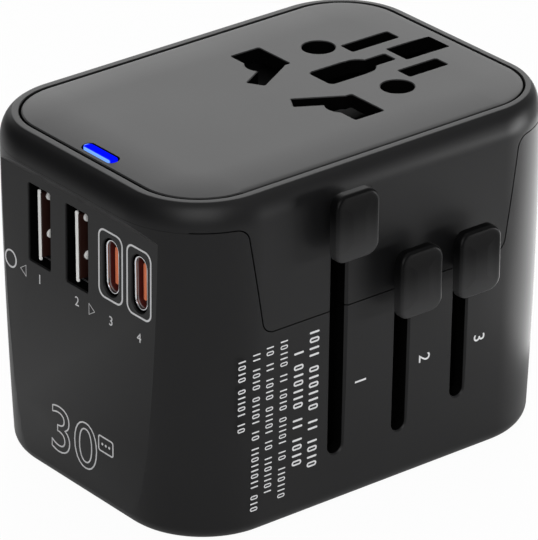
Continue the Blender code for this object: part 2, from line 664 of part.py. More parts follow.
def leg_places():
    return [(sx * LEG_X, sy * LEG_Y) for sx in (-1, 1) for sy in (-1, 1)]


def screw_passages():
    """A recess for the head and a hole for the shank, below each leg of the frame."""
    head = SCREW_HEAD_RADIUS + FIT
    shank = SCREW_RADIUS + FIT
    seat = SCREW_RECESS + SCREW_HEAD + FIT
    return together(
        *[
            loft([(circle(head, at, 16), -FLOOR), (circle(head, at, 16), seat),
                  (circle(shank, at, 16), seat), (circle(shank, at, 16), PILLAR_TOP + FLOOR)])
            for at in leg_places()
        ]
    )


def make_casing(looks):
    housing = piece(
        "lower_housing", loft(casing_levels()), looks["casing"], cuts=[above_seam(0.0), tongue(FIT)]
    )
    pillars = [prism(circle(PILLAR_RADIUS, at, 16), FLOOR / 2, PILLAR_TOP) for at in leg_places()]
    for solid in (panel_backing(), together(*pillars)):
        combine(housing, "UNION", solid)
    for solid in (panel_cutter(), port_cutters(), slot_cutters(), floor_cutters(), screw_passages()):
        combine(housing, "DIFFERENCE", solid)
    cap = piece("upper_cap", loft(casing_levels()), looks["casing"])
    region = combine(cap, "INTERSECT", above_seam(-FIT))
    combine(region, "UNION", tongue(0.0))
    combine(cap, "DIFFERENCE", slot_cutters())


# ---------------------------------------------------------------- face plate and socket
def us_slot(side, shift, z0, z1):
    length = US_HOLE_NEUTRAL if side > 0 else US_HOLE_LINE
    x0 = US_HOLE_X - length / 2 + shift
    y = side * US_Y
    return box(x0, x0 + length, y - US_HOLE_WIDTH / 2, y + US_HOLE_WIDTH / 2, z0, z1)


def slanted_slot(side, shift, z0, z1):
    along = Vector((math.cos(SLANT_ANGLE), side * math.sin(SLANT_ANGLE))) * SLANT_LENGTH / 2
    across = Vector((-math.sin(SLANT_ANGLE), side * math.cos(SLANT_ANGLE))) * SLANT_WIDTH / 2
    middle = Vector((SLANT_X + shift, side * SLANT_Y))
    half_turn = ((1, 1), (-1, 1), (-1, -1), (1, -1))
    corners = [tuple(middle + along * a + across * b) for a, b in half_turn]
    return prism(corners, z0, z1)


def pole_cutters(shift, z0, z1):
    """The line and neutral holes as groups of solids that don't touch inside a group."""
    plain, rounds, slants = [], [], []
    for side in (-1, 1):
        inner, outer = sorted((side * UK_HOLE_INNER, side * UK_HOLE_OUTER))
        x = UK_HOLE_X + shift
        plain.append(box(x - UK_HOLE_WIDTH / 2, x + UK_HOLE_WIDTH / 2, inner, outer, z0, z1))
        plain.append(us_slot(side, shift, z0, z1))
        plain.append(prism(circle(EURO_RADIUS, (SOCKET_X + shift, side * EURO_Y)), z0, z1))
        rounds.append(prism(circle(HALF_ROUND_RADIUS, (HALF_ROUND_X + shift, side * HALF_ROUND_Y)), z0, z1))
        slants.append(slanted_slot(side, shift, z0, z1))
    return [together(*plain), together(*rounds), together(*slants)]


def earth_cutters(z0, z1):
    half, half_width = EARTH_HOLE_LENGTH / 2, EARTH_HOLE_WIDTH / 2
    slot = box(EARTH_HOLE_X - half, EARTH_HOLE_X + half, -half_width, half_width, z0, z1)
    bottle = box(BOTTLE_START, BOTTLE_ROUND_X, -BOTTLE_WIDTH / 2, BOTTLE_WIDTH / 2, z0, z1)
    neck = box(BOTTLE_ROUND_X, BOTTLE_NECK_END, -BOTTLE_NECK_WIDTH / 2, BOTTLE_NECK_WIDTH / 2, z0, z1)
    rounded = prism(circle(BOTTLE_ROUND_RADIUS, (BOTTLE_ROUND_X, 0.0)), z0, z1)
    return [together(slot, bottle), rounded, neck]


def light_outline(grow):
    middle = (-HALF_LENGTH + LIGHT_INSET, LIGHT_Y)
    half_u = LIGHT_WIDTH / 2 + grow
    return rounded_rect(half_u, LIGHT_LENGTH / 2 + grow, half_u, 4, middle)


def make_face(looks):
    z0, z1 = PLATE_BASE - PLATE_THICKNESS, BODY_HEIGHT + PLATE_THICKNESS
    light_slot = prism(light_outline(FIT), z0, z1)
    piece(
        "socket_plate",
        prism(plate_ring(0.0), PLATE_BASE, BODY_HEIGHT),
        looks["casing"],
        cuts=[*pole_cutters(0.0, z0, z1), *earth_cutters(z0, z1), light_slot],
    )
    levels = [
        (light_outline(LIGHT_FLANGE), LEDGE_BASE),
        (light_outline(LIGHT_FLANGE), POCKET_FLOOR),
        (light_outline(0.0), POCKET_FLOOR),
        (light_outline(0.0), BODY_HEIGHT),
    ]
    piece("led_bar", loft(levels), looks["light"])


# ---------------------------------------------------------------- buttons and carriages
def travel(slot_base, button_z):
    return button_z - slot_base - SLOT_END


def make_button(name, x, z, slot_width, looks, module):
    """Cap, neck and foot in one moulding, from the front face back to the foot."""
    at = (z, x)
    front = FRONT - BUTTON_STANDOFF - BUTTON_THICKNESS
    levels = []
    for step in range(3):
        angle = math.pi / 2 * step / 2
        inset = BUTTON_EDGE * (1 - math.sin(angle))
        y = front + BUTTON_EDGE * (1 - math.cos(angle))
        outline = rounded_rect(
            BUTTON_HEIGHT / 2 - inset, BUTTON_WIDTH / 2 - inset, BUTTON_CORNER - inset, 4, at
        )
        levels.append((outline, y))
    levels.append((outline, FRONT - BUTTON_STANDOFF))
    half_neck = slot_width / 2 - NECK_PLAY
    neck = rounded_rect(NECK_HEIGHT / 2, half_neck, half_neck, 4, at)
    levels.append((neck, FRONT - BUTTON_STANDOFF))
    levels.append((neck, FOOT_FRONT))
    foot = rounded_rect(NECK_HEIGHT / 2, FOOT_WIDTH / 2, FIT, 4, at)
    levels.append((foot, FOOT_FRONT))
    levels.append((foot, FOOT_BACK))
    piece(name, loft(levels, "Y"), looks["button"], origin=(x, FRONT, z), parent=module)


def make_spring(name, x, z, looks, module):
    turns = 3
    y0, y1 = FOOT_BACK + FIT, CARRIAGE_FRONT + SPRING_POCKET - FIT
    solid = coil(SPRING_RADIUS, SPRING_WIRE, y0, y1, turns, "Y", (z, x))
    piece(name, solid, looks["steel"], origin=(x, y0, z), parent=module)


def lip_block(x, half, base, button_z):
    """The front tower of a carriage, with the two lips that carry the button's foot."""
    foot_half = NECK_HEIGHT / 2 + FIT
    top = button_z + foot_half + LIP
    lip_front = FOOT_FRONT + FIT
    below = button_z - foot_half
    outline = [
        (base, CARRIAGE_FRONT),
        (below - LIP, CARRIAGE_FRONT),
        (below - LIP, lip_front),
        (below, lip_front),
        (below, CARRIAGE_FRONT),
        (button_z + foot_half, CARRIAGE_FRONT),
        (button_z + foot_half, lip_front),
        (top, lip_front),
        (top, TOWER_BACK),
        (base, TOWER_BACK),
    ]
    side = [(y, z) for z, y in outline]
    return prism(side, x - half, x + half, "X")


def spring_pocket(x, z):
    outline = circle(SPRING_RADIUS + FIT, (z, x), 16)
    return prism(outline, CARRIAGE_FRONT - FIT, CARRIAGE_FRONT + SPRING_POCKET, "Y")


def make_carriage(name, x, half, plan, base, button_z, sockets, looks, module):
    """sockets is the solid that leaves room for the pins' roots."""
    tower_half = half - FIT
    piece(
        name,
        prism(plan, base, base + BLOCK_HEIGHT),
        looks["frame"],
        joins=[lip_block(x, tower_half, base + FIT, button_z)],
        cuts=[spring_pocket(x, button_z), sockets],
        origin=(x, 0.0, base),
        parent=module,
    )


def block_plan(x, half):
    """Plan of a plain carriage, clear of the tower's sharp front corners."""
    return rectangle(x - half, x + half, CARRIAGE_FRONT + FIT, CARRIAGE_BACK)


def pin(name, outline_at, tip_z, shoulder_z, root_z, peg_inset, looks, module, origin):
    """A pin from its bevelled tip up to the root that its carriage holds.

    outline_at(inset) gives the pin's outline, drawn in by inset.
    """
    levels = [
        (outline_at(PIN_TIP), tip_z),
        (outline_at(PIN_TIP / 3), tip_z + PIN_TIP / 2),
        (outline_at(0.0), tip_z + 1.5 * PIN_TIP),
        (outline_at(0.0), shoulder_z),
    ]
    if peg_inset:
        levels.append((outline_at(peg_inset), shoulder_z))
    levels.append((outline_at(peg_inset), root_z))
    return piece(name, loft(levels), looks, origin=origin, parent=module)


def make_eu_module(looks):
    down = travel(EU_SLOT_BASE, EU_BUTTON_Z)
    base = CARRIAGE_DOWN + down
    module = carrier("eu_module", EU_X, 0.0, base)
    holes = [
        prism(circle(EURO_PIN_RADIUS + FIT, (EU_X, side * EURO_Y), 16), base - FIT, base + ROOT + FIT)
        for side in (-1, 1)
    ]
    plan = block_plan(EU_X, EU_HALF)
    make_carriage("eu_carriage", EU_X, EU_HALF, plan, base, EU_BUTTON_Z, together(*holes), looks, module)
    for pole, side in (("line", -1), ("neutral", 1)):
        at = (EU_X, side * EURO_Y)

        def outline_at(inset, at=at):
            return circle(EURO_PIN_RADIUS - inset, at, 16)

        pin(
            f"eu_{pole}_pin", outline_at, down - EURO_PIN_OUT, base, base + ROOT, 0.0,
            looks["nickel"], module, (*at, base),
        )
    make_button("eu_button", EU_X, EU_BUTTON_Z, EU_SLOT_WIDTH, looks, module)
    make_spring("eu_button_spring", EU_X, EU_BUTTON_Z, looks, module)


def uk_plan():
    """Plan of the UK carriage: its strip, the bridge behind the US channel and the earth arm."""
    left, right = UK_X - UK_HALF, UK_X + UK_HALF
    arm_left = EARTH_PIN_X - UK_EARTH_WIDTH / 2 - 2 * FIT
    arm_right = EARTH_PIN_X + UK_EARTH_WIDTH / 2 + 2 * FIT
    return [
        (left, CARRIAGE_FRONT + FIT),
        (right, CARRIAGE_FRONT + FIT),
        (right, BRIDGE_FRONT),
        (arm_left, BRIDGE_FRONT),
        (arm_left, ARM_FRONT),
        (arm_right, ARM_FRONT),
        (arm_right, ARM_BACK),
        (BRIDGE_END, ARM_BACK),
        (BRIDGE_END, BRIDGE_BACK),
        (left, BRIDGE_BACK),
    ]


def flat_pin_places():
    """(name, x, y, half size along x, half size along y, length out of the foot)"""
    thick, wide = UK_PIN_THICKNESS / 2, UK_PIN_WIDTH / 2
    return (
        ("uk_line_pin", UK_X, -UK_Y, thick, wide, UK_PIN_OUT),
        ("uk_neutral_pin", UK_X, UK_Y, thick, wide, UK_PIN_OUT),
        ("uk_earth_pin", EARTH_PIN_X, 0.0, UK_EARTH_WIDTH / 2, thick, UK_EARTH_OUT),
    )


def make_uk_module(looks):
    down = travel(UK_SLOT_BASE, UK_BUTTON_Z)
    base = CARRIAGE_DOWN + down
    module = carrier("uk_module", UK_X, 0.0, base)
    peg_play = UK_PEG - FIT
    holes = []
    for _, x, y, half_u, half_v, _ in flat_pin_places():
        outline = rounded_rect(half_u - peg_play, half_v - peg_play, FIT, 2, (x, y))
        holes.append(prism(outline, base - FIT, base + ROOT + FIT))
    plan = uk_plan()
    make_carriage("uk_carriage", UK_X, UK_HALF, plan, base, UK_BUTTON_Z, together(*holes), looks, module)
    for name, x, y, half_u, half_v, out in flat_pin_places():

        def outline_at(inset, at=(x, y), half_u=half_u, half_v=half_v):
            return rounded_rect(half_u - inset, half_v - inset, FIT, 2, at)

        finish = looks["frame"] if name == "uk_earth_pin" else looks["brass"]
        pin(name, outline_at, down - out, base - FIT, base + ROOT, UK_PEG, finish, module, (x, y, base))
    make_button("uk_button", UK_X, UK_BUTTON_Z, UK_SLOT_WIDTH, looks, module)
    make_spring("uk_button_spring", UK_X, UK_BUTTON_Z, looks, module)


def turret_levels(at, base, grow):
    """The turret's disc and its pivot, widened by grow to cut its seat."""
    disc = circle(TURRET_RADIUS + grow, at)
    pivot = circle(TURRET_PIVOT + grow, at)
    top = base + TURRET_HEIGHT + grow
    return [(disc, base - grow), (disc, top), (pivot, top), (pivot, top + TURRET_PIVOT_LENGTH)]


def make_us_module(looks):
    down = travel(US_SLOT_BASE, US_BUTTON_Z)
    base = CARRIAGE_DOWN + down
    module = carrier("us_module", US_X, 0.0, base)
    seats = [loft(turret_levels((US_X, side * US_Y), base, FIT)) for side in (-1, 1)]
    plan = block_plan(US_X, US_HALF)
    make_carriage("us_carriage", US_X, US_HALF, plan, base, US_BUTTON_Z, together(*seats), looks, module)
    blade_root = base + TURRET_HEIGHT - 2 * FIT
    for pole, side in (("line", -1), ("neutral", 1)):
        at = (US_X, side * US_Y)
        half_u, half_v = BLADE_WIDTH / 2, BLADE_THICKNESS / 2
        slot = rounded_rect(half_u + FIT, half_v + FIT, FIT, 2, at)
        origin = (*at, base)
        piece(
            f"us_{pole}_turret", loft(turret_levels(at, base, 0.0)), looks["frame"],
            cuts=[prism(slot, base - FIT, blade_root + FIT)], origin=origin, parent=module,
        )

        def outline_at(inset, at=at, half_u=half_u, half_v=half_v):
            return rounded_rect(half_u - inset, half_v - min(inset, half_v / 2), FIT / 2, 2, at)

        pin(
            f"us_{pole}_blade", outline_at, down - BLADE_OUT, base, blade_root, 0.0,
            looks["brass"], module, origin,
        )
    make_button("us_button", US_X, US_BUTTON_Z, US_SLOT_WIDTH, looks, module)
    make_spring("us_button_spring", US_X, US_BUTTON_Z, looks, module)


# ---------------------------------------------------------------- inner frame
def eu_channel_plan():
    """The three walls round the EU channel, open to the slider face."""
    left, right = EU_LEFT - EU_OUTER_WALL, UK_LEFT
    front, back = INNER_FRONT + GUIDE_FRONT, CARRIAGE_BACK + CHANNEL_PLAY
    return [
        (left, front), (EU_LEFT, front), (EU_LEFT, back), (EU_RIGHT, back),
        (EU_RIGHT, front), (right, front), (right, back + EU_BACK_WALL), (left, back + EU_BACK_WALL),
    ]


def frame_arms():
    """The two arms that carry the main board, from the outer wall of the EU channel to the legs."""
    top, base, end = SHORT_LEG_TOP, SHORT_LEG_TOP - ARM_HEIGHT, EU_LEFT - FIT
    half = ARM_WIDTH / 2
    arms = [box(-LEG_X, end, side * LEG_Y - half, side * LEG_Y + half, base, top) for side in (-1, 1)]
    wall_end = EU_LEFT - EU_OUTER_WALL + FIT
    tie = box(wall_end, end - FIT, CARRIAGE_BACK, LEG_Y, base + FIT, top - FIT)
    return [together(*arms), tie]


def frame_legs():
    legs = []
    for x, y in leg_places():
        top = SHORT_LEG_TOP if x < 0 else DECK_TOP
        legs.append(prism(circle(LEG_RADIUS, (x, y), 16), PILLAR_TOP + FIT, top - FIT))
    return together(*legs)


def make_frame(looks):
    base, top = FLOOR + FIT, DECK_BASE + FIT
    front = INNER_FRONT + GUIDE_FRONT
    deck = box(EU_RIGHT + FIT, DECK_END, DECK_FRONT, DECK_BACK, DECK_BASE, DECK_TOP)
    guides = together(
        box(UK_RIGHT, US_LEFT, front, BRIDGE_FRONT - FIT, base, top),
        box(US_RIGHT, US_RIGHT + WALL, front, ARM_FRONT - CHANNEL_PLAY, base, top),
    )
    anchor_left = EU_LEFT - EU_OUTER_WALL + FIT
    anchor = box(anchor_left, EU_LEFT - FIT, -ANCHOR_HALF, ANCHOR_HALF, FRAME_TOP - WALL, LEDGE_BASE)
    hole_top = SCREW_RECESS + SCREW_LENGTH + 2 * FIT
    holes = [prism(circle(SCREW_RADIUS + FIT, at, 12), PILLAR_TOP, hole_top) for at in leg_places()]
    piece(
        "inner_frame",
        prism(eu_channel_plan(), base, FRAME_TOP),
        looks["frame"],
        joins=[deck, guides, *frame_arms(), frame_legs(), anchor],
        cuts=[together(*holes)],
    )


def make_screws(looks):
    for number, at in enumerate(leg_places(), start=1):
        z0 = SCREW_RECESS
        neck = z0 + SCREW_HEAD
        levels = [
            (circle(SCREW_RADIUS, at, 12), z0 + SCREW_HEAD / 2),
            (circle(SCREW_RADIUS, at, 12), z0),
            (circle(SCREW_HEAD_RADIUS, at, 12), z0),
            (circle(SCREW_HEAD_RADIUS, at, 12), neck),
            (circle(SCREW_RADIUS, at, 12), neck),
            (circle(SCREW_RADIUS, at, 12), z0 + SCREW_LENGTH - SCREW_RADIUS),
            (circle(SCREW_RADIUS / 3, at, 12), z0 + SCREW_LENGTH),
        ]
        piece(f"screw_{number}", loft(levels), looks["steel"], origin=(*at, z0))


# ---------------------------------------------------------------- socket block, contacts, shutter
def lead_notch(x, side):
    y0, y1 = sorted((side * (WELL_Y1 - FIT), side * (BLOCK_HALF + FIT)))
    half = LEAD_RADIUS + 2 * FIT
    z = BLOCK_BASE + BLOCK_FLOOR + FIT + LEAF + half
    return box(x - half, x + half, y0, y1, z - half, z + half)


def make_socket_block(looks):
    well_floor = BLOCK_BASE + BLOCK_FLOOR
    wells = []
    for side in (-1, 1):
        y0, y1 = sorted((side * WELL_Y0, side * WELL_Y1))
        wells.append(box(WELL_X0, WELL_X1, y0, y1, well_floor, BLOCK_TOP + FIT))
    wells.append(
        box(BOTTLE_START - WELL_WALL, BLOCK_X1 - WELL_WALL, -EARTH_WELL_HALF, EARTH_WELL_HALF,
            well_floor, BLOCK_TOP + FIT)
    )
    rails = []
    for side in (-1, 1):
        y0, y1 = sorted((side * (BLOCK_HALF - FIT / 9), side * (BLOCK_HALF - RAIL)))
        rails.append(
            box(BLOCK_X0 + FIT, BLOCK_X1 - BLOCK_CORNER, y0, y1, BLOCK_TOP - RAIL, PLATE_BASE - FIT)
        )
    outline = rounded_polygon(
        [
            (BLOCK_X0, -BLOCK_HALF, 0.0),
            (BLOCK_X1, -BLOCK_HALF, BLOCK_CORNER),
            (BLOCK_X1, BLOCK_HALF, BLOCK_CORNER),
            (BLOCK_X0, BLOCK_HALF, 0.0),
        ]
    )
    piece(
        "contact_housing",
        prism(outline, BLOCK_BASE, BLOCK_TOP),
        looks["frame"],
        joins=[together(*rails)],
        cuts=[together(*wells), lead_notch(LINE_TAB_X, -1), lead_notch(NEUTRAL_TAB_X, 1)],
    )


def make_contact(name, side, tab_x, looks):
    """A brass strip with a pair of spring leaves under each hole of one pole."""
    z0 = BLOCK_BASE + BLOCK_FLOOR + FIT
    low, high = z0 + LEAF / 2, BLOCK_TOP - LEAF_DROP

    def leaf(x0, x1, y0, y1):
        near, far = sorted((side * y0, side * y1))
        return box(x0, x1, near, far, low, high)

    uk_gap = UK_PIN_THICKNESS / 2
    euro_gap = EURO_PIN_RADIUS
    us_gap = BLADE_THICKNESS / 2
    half_us = BLADE_WIDTH / 2
    leaves = [
        leaf(UK_HOLE_X - uk_gap - LEAF, UK_HOLE_X - uk_gap, UK_Y - uk_gap, CONTACT_Y1 - LEAF),
        leaf(UK_HOLE_X + uk_gap, UK_HOLE_X + uk_gap + LEAF, UK_Y - uk_gap, CONTACT_Y1 - LEAF),
        leaf(SOCKET_X - euro_gap - LEAF, SOCKET_X - euro_gap, EURO_Y - euro_gap, EURO_Y + euro_gap),
        leaf(SOCKET_X + euro_gap, SOCKET_X + euro_gap + LEAF, EURO_Y - euro_gap, EURO_Y + euro_gap),
        leaf(US_HOLE_X - half_us, US_HOLE_X + half_us, US_Y - us_gap - LEAF, US_Y - us_gap),
        leaf(US_HOLE_X - half_us, US_HOLE_X + half_us, US_Y + us_gap, US_Y + us_gap + LEAF),
    ]
    y0, y1 = sorted((side * (CONTACT_Y0 - LEAF), side * CONTACT_Y1))
    strip = box(WELL_X0 + LEAF, WELL_X1 - LEAF, y0, y1, z0, z0 + LEAF)
    tab0, tab1 = sorted((side * (CONTACT_Y1 - LEAF), side * (WELL_Y1 - FIT)))
    tab = box(tab_x - LEAD_RADIUS, tab_x + LEAD_RADIUS, tab0, tab1, z0 + FIT / 9, z0 + LEAF + FIT / 9)
    piece(name, strip, looks["brass"], joins=[together(*leaves), tab])


def make_shutter(looks):
    z0, z1 = SHUTTER_BASE, SHUTTER_BASE + SHUTTER_THICKNESS
    cut0, cut1 = z0 - SHUTTER_THICKNESS, z1 + SHUTTER_THICKNESS
    channel_x = BOTTLE_START - SHUTTER_TRAVEL - FIT
    channel = box(channel_x, SHUTTER_X1 + WALL, -SHUTTER_CHANNEL, SHUTTER_CHANNEL, cut0, cut1)
    piece(
        "shutter",
        box(SHUTTER_X0, SHUTTER_X1, -SHUTTER_HALF, SHUTTER_HALF, z0, z1),
        looks["frame"],
        cuts=[*pole_cutters(-SHUTTER_TRAVEL, cut0, cut1), channel],
        origin=(SHUTTER_X0, 0.0, z0),
    )
    x0, x1 = EU_LEFT, SHUTTER_X0 - FIT
    z = SHUTTER_BASE + SHUTTER_SPRING_RADIUS
    solid = coil(SHUTTER_SPRING_RADIUS, SPRING_WIRE * 0.75, x0, x1, 8, "X", (0.0, z))
    piece("shutter_spring", solid, looks["steel"], origin=(x0, 0.0, z))


# ---------------------------------------------------------------- ports
def cup(outline_at, wall, x_front, x_back):
    """A metal shell that is open at the front: outline_at(inset) gives its section."""
    return loft(
        [
            (outline_at(wall), x_back - wall),
            (outline_at(wall), x_front),
            (outline_at(0.0), x_front),
            (outline_at(0.0), x_back),
        ],
        "X",
    )


def make_ports(looks):
    a_front = PANEL_BACK + FIT
    for number, y in enumerate(A_PORTS, start=1):

        def section(inset, y=y):
            half_u, half_v = A_WIDTH / 2 + A_WALL - inset, A_HEIGHT / 2 + A_WALL - inset
            return rounded_rect(half_u, half_v, 0.6 * MM - inset / 2, 2, (y, PORT_Z))

        piece(f"usb_a_shell_{number}", cup(section, A_WALL, a_front, PORT_BACK), looks["steel"])
        tongue_y = y + A_TONGUE_OFFSET
        outline = rounded_rect(A_TONGUE[0] / 2, A_TONGUE[1] / 2, FIT, 2, (tongue_y, PORT_Z))
        solid = prism(outline, a_front + A_TONGUE_INSET, PORT_BACK - A_WALL - FIT, "X")
        piece(f"usb_a_tongue_{number}", solid, looks["tongue"])
    c_front = PANEL_X + C_LIP_INSET
    for number, y in enumerate(C_PORTS, start=1):

        def section(inset, y=y):
            half_u, half_v = C_WIDTH / 2 - FIT - inset, C_HEIGHT / 2 - FIT - inset
            return rounded_rect(half_u, half_v, half_u, 5, (y, PORT_Z))

        piece(f"usb_c_shell_{number}", cup(section, C_WALL, c_front, PORT_BACK), looks["steel"])
        outline = rounded_rect(C_TONGUE[0] / 2, C_TONGUE[1] / 2, FIT, 2, (y, PORT_Z))
        solid = prism(outline, c_front + C_TONGUE_INSET, PORT_BACK - C_WALL - FIT, "X")
        piece(f"usb_c_tongue_{number}", solid, looks["orange"])


# ---------------------------------------------------------------- electronics
def can(name, x, y, radius, z0, z1, finish):
    levels = [
        (circle(radius - FIT, (x, y), 16), z0),
        (circle(radius, (x, y), 16), z0 + FIT),
        (circle(radius, (x, y), 16), z1 - FIT),
        (circle(radius - FIT, (x, y), 16), z1),
    ]
    piece(name, loft(levels), finish, origin=(x, y, z0))


def make_boards(looks):
    half_x, middle_x = (BOARD_X1 - BOARD_X0) / 2, (BOARD_X0 + BOARD_X1) / 2
    plan = rounded_rect(half_x, MAIN_BOARD_HALF, LEG_RADIUS, SMALL_ARC, (middle_x, 0.0))
    piece("main_board", prism(plan, BOARD_BASE, BOARD_TOP), looks["board"])
    x0, x1 = PORT_BACK + FIT, PORT_BACK + FIT + BOARD
    upright = box(x0, x1, PORT_BOARD_Y0, PORT_BOARD_Y1, BOARD_TOP + FIT, PORT_BOARD_TOP)
    piece("port_board", upright, looks["board"])
    light_x, half = -HALF_LENGTH + LIGHT_INSET, LIGHT_WIDTH / 2
    z0 = PORT_BOARD_TOP + FIT
    y0, y1 = LIGHT_Y - LIGHT_LENGTH / 2, LIGHT_Y + LIGHT_LENGTH / 2
    piece("led_board", box(light_x - half, x1, y0, y1, z0, z0 + BOARD), looks["board"])
    lamp = box(
        light_x - half, light_x + half, LIGHT_Y - LIGHT_WIDTH, LIGHT_Y + LIGHT_WIDTH,
        z0 + BOARD + FIT, LEDGE_BASE - FIT,
    )
    piece("led_chip", lamp, looks["ceramic"])


def make_transformer(x, top, looks):
    """A square core, open below, round a winding."""

    def winding(grow):
        half_u, half_v = WINDING_LENGTH / 2 + grow, WINDING_DEPTH / 2 + grow
        return rounded_rect(half_u, half_v, WINDING_CORNER, SMALL_ARC, (x, TRANSFORMER_Y))

    core = rounded_rect(CORE_LENGTH / 2, CORE_DEPTH / 2, FIT, SMALL_ARC, (x, TRANSFORMER_Y))
    z0 = top - CORE_HEIGHT
    z1 = z0 + CORE_FOOT + WINDING_HEIGHT
    piece("transformer_winding", prism(winding(0.0), z0 + CORE_FOOT, z1), looks["copper"])
    room = prism(winding(FIT), z0 - CORE_FOOT, z1 + FIT)
    piece("transformer_core", prism(core, z0, top), looks["ferrite"], cuts=[room])


def make_electronics(looks):
    make_boards(looks)
    hang = BOARD_BASE - FIT  # top of the parts that hang from the main board
    stand = BOARD_TOP + FIT  # foot of the parts that stand on it
    middle = (BOARD_X0 + BOARD_X1) / 2
    make_transformer(middle, hang, looks)
    bulk_x = BOARD_X0 + BULK_RADIUS + FIT
    can("bulk_capacitor", bulk_x, BULK_Y, BULK_RADIUS, hang - BULK_HEIGHT, hang, looks["can"])
    filter_x = BOARD_X1 - FILTER_RADIUS - FIT
    can("filter_capacitor", filter_x, FILTER_Y, FILTER_RADIUS, hang - FILTER_HEIGHT, hang, looks["can"])
    small_x = BOARD_X1 - OUTPUT_RADIUS - FIT
    can("output_capacitor", small_x, OUTPUT_Y, OUTPUT_RADIUS, stand, stand + OUTPUT_HEIGHT, looks["can"])
    can("choke", small_x, CHOKE_Y, CHOKE_RADIUS, stand, stand + CHOKE_HEIGHT, looks["ferrite"])
    chip_x = BOARD_X1 - CHIP_SIZE - 2 * FIT
    chip = box(chip_x, chip_x + CHIP_SIZE, CHIP_Y, CHIP_Y + CHIP_SIZE, stand, stand + CHIP_HEIGHT)
    piece("power_chip", chip, looks["ferrite"])
    fuse = circle(FUSE_RADIUS, (FUSE_Y, hang - FUSE_RADIUS), 12)
    piece("fuse", prism(fuse, middle - FUSE_LENGTH / 2, middle + FUSE_LENGTH / 2, "X"), looks["ceramic"])


def smooth_route(points, steps=4):
    """A smooth curve that passes through each of the points."""
    knots = [Vector(p) for p in points]
    knots = [2 * knots[0] - knots[1], *knots, 2 * knots[-1] - knots[-2]]
    route = []
    for a, b, c, d in zip(knots, knots[1:], knots[2:], knots[3:]):
        for step in range(steps):
            t = step / steps
            pull = 2 * a - 5 * b + 4 * c - d
            twist = 3 * b - a - 3 * c + d
            route.append(0.5 * (2 * b + (c - a) * t + pull * t**2 + twist * t**3))
    return [*route, knots[-2]]


def lead_curve(name, points, finish):
    route = smooth_route(points)
    curve = bpy.data.curves.new(name, "CURVE")
    curve.dimensions = "3D"
    curve.bevel_depth = LEAD_RADIUS
    curve.bevel_resolution = 2
    curve.use_fill_caps = True
    spline = curve.splines.new("POLY")
    spline.points.add(len(route) - 1)
    for point, at in zip(spline.points, route):
        point.co = (*at, 1.0)
    curve.materials.append(finish)
    bpy.context.scene.collection.objects.link(bpy.data.objects.new(name, curve))


def make_leads(looks):
    """The leads run from the contacts' tabs round the back of the modules to the main board."""
    z = BLOCK_BASE + BLOCK_FLOOR + FIT + LEAF + LEAD_RADIUS + FIT
    beside = (BLOCK_X1 + HALF_LENGTH - WALL) / 2
    outside = BLOCK_HALF + LEAD_RADIUS + FIT
    behind = CARRIAGE_BACK + CHANNEL_PLAY + EU_BACK_WALL + LEAD_RADIUS
    corner_x = EU_LEFT - EU_OUTER_WALL
    board_y, board_z = MAIN_BOARD_HALF - LEAD_BOARD_EDGE, BOARD_TOP + FIT
    neutral_x, line_x = BOARD_X1 - NEUTRAL_LEAD_INSET, BOARD_X1 - LINE_LEAD_INSET
    lead_curve(
        "neutral_lead",
        [
            (NEUTRAL_TAB_X, WELL_Y1, z),
            (NEUTRAL_TAB_X - 0.2 * MM, outside - 0.6 * MM, z),
            (NEUTRAL_TAB_X - 2.0 * MM, outside + 1.1 * MM, z + 0.3 * MM),
            (UK_X, outside + 1.5 * MM, z + 1.0 * MM),
            (EU_X, behind + 2.4 * MM, z - 2.0 * MM),
            (corner_x, behind + 1.0 * MM, z - LEAD_DROP),
            (neutral_x, board_y + 0.3 * MM, board_z + 3.0 * MM),
            (neutral_x, board_y, board_z),
        ],
        looks["blue"],
    )
    lead_curve(
        "line_lead",
        [
            (LINE_TAB_X, -WELL_Y1, z),
            (LINE_TAB_X, -outside + 0.2 * MM, z),
            (LINE_TAB_X + 1.3 * MM, -outside - 1.2 * MM, z + 0.6 * MM),
            (BLOCK_X1 - 1.8 * MM, -outside - 1.1 * MM, z + 1.2 * MM),
            (beside - 1.4 * MM, -outside + 1.1 * MM, z + 1.6 * MM),
            (beside - 0.2 * MM, -outside + 4.4 * MM, z + 1.8 * MM),
            (beside, 0.0, z + 2.0 * MM),
            (beside - 0.2 * MM, outside - 4.4 * MM, z + 2.0 * MM),
            (beside - 1.4 * MM, outside - 1.1 * MM, z + 2.0 * MM),
            (BLOCK_X1 - 1.8 * MM, outside + 1.1 * MM, z + 2.0 * MM),
            (SOCKET_X + 3.0 * MM, outside + 2.1 * MM, z + 2.2 * MM),
            (UK_X, outside + 3.9 * MM, z + 3.0 * MM),
            (EU_X, behind + 4.8 * MM, z),
            (corner_x - 1.0 * MM, behind + 2.6 * MM, z - LEAD_DROP),
            (line_x + 0.3 * MM, board_y + 0.6 * MM, board_z + 3.0 * MM),
            (line_x, board_y, board_z),
        ],
        looks["brown"],
    )


def main():
    clear_scene()
    looks = finishes()
    make_casing(looks)
    make_face(looks)
    make_frame(looks)
    make_screws(looks)
    make_socket_block(looks)
    make_contact("line_contact", -1, LINE_TAB_X, looks)
    make_contact("neutral_contact", 1, NEUTRAL_TAB_X, looks)
    make_shutter(looks)
    make_eu_module(looks)
    make_uk_module(looks)
    make_us_module(looks)
    make_ports(looks)
    make_electronics(looks)
    make_leads(looks)


main()
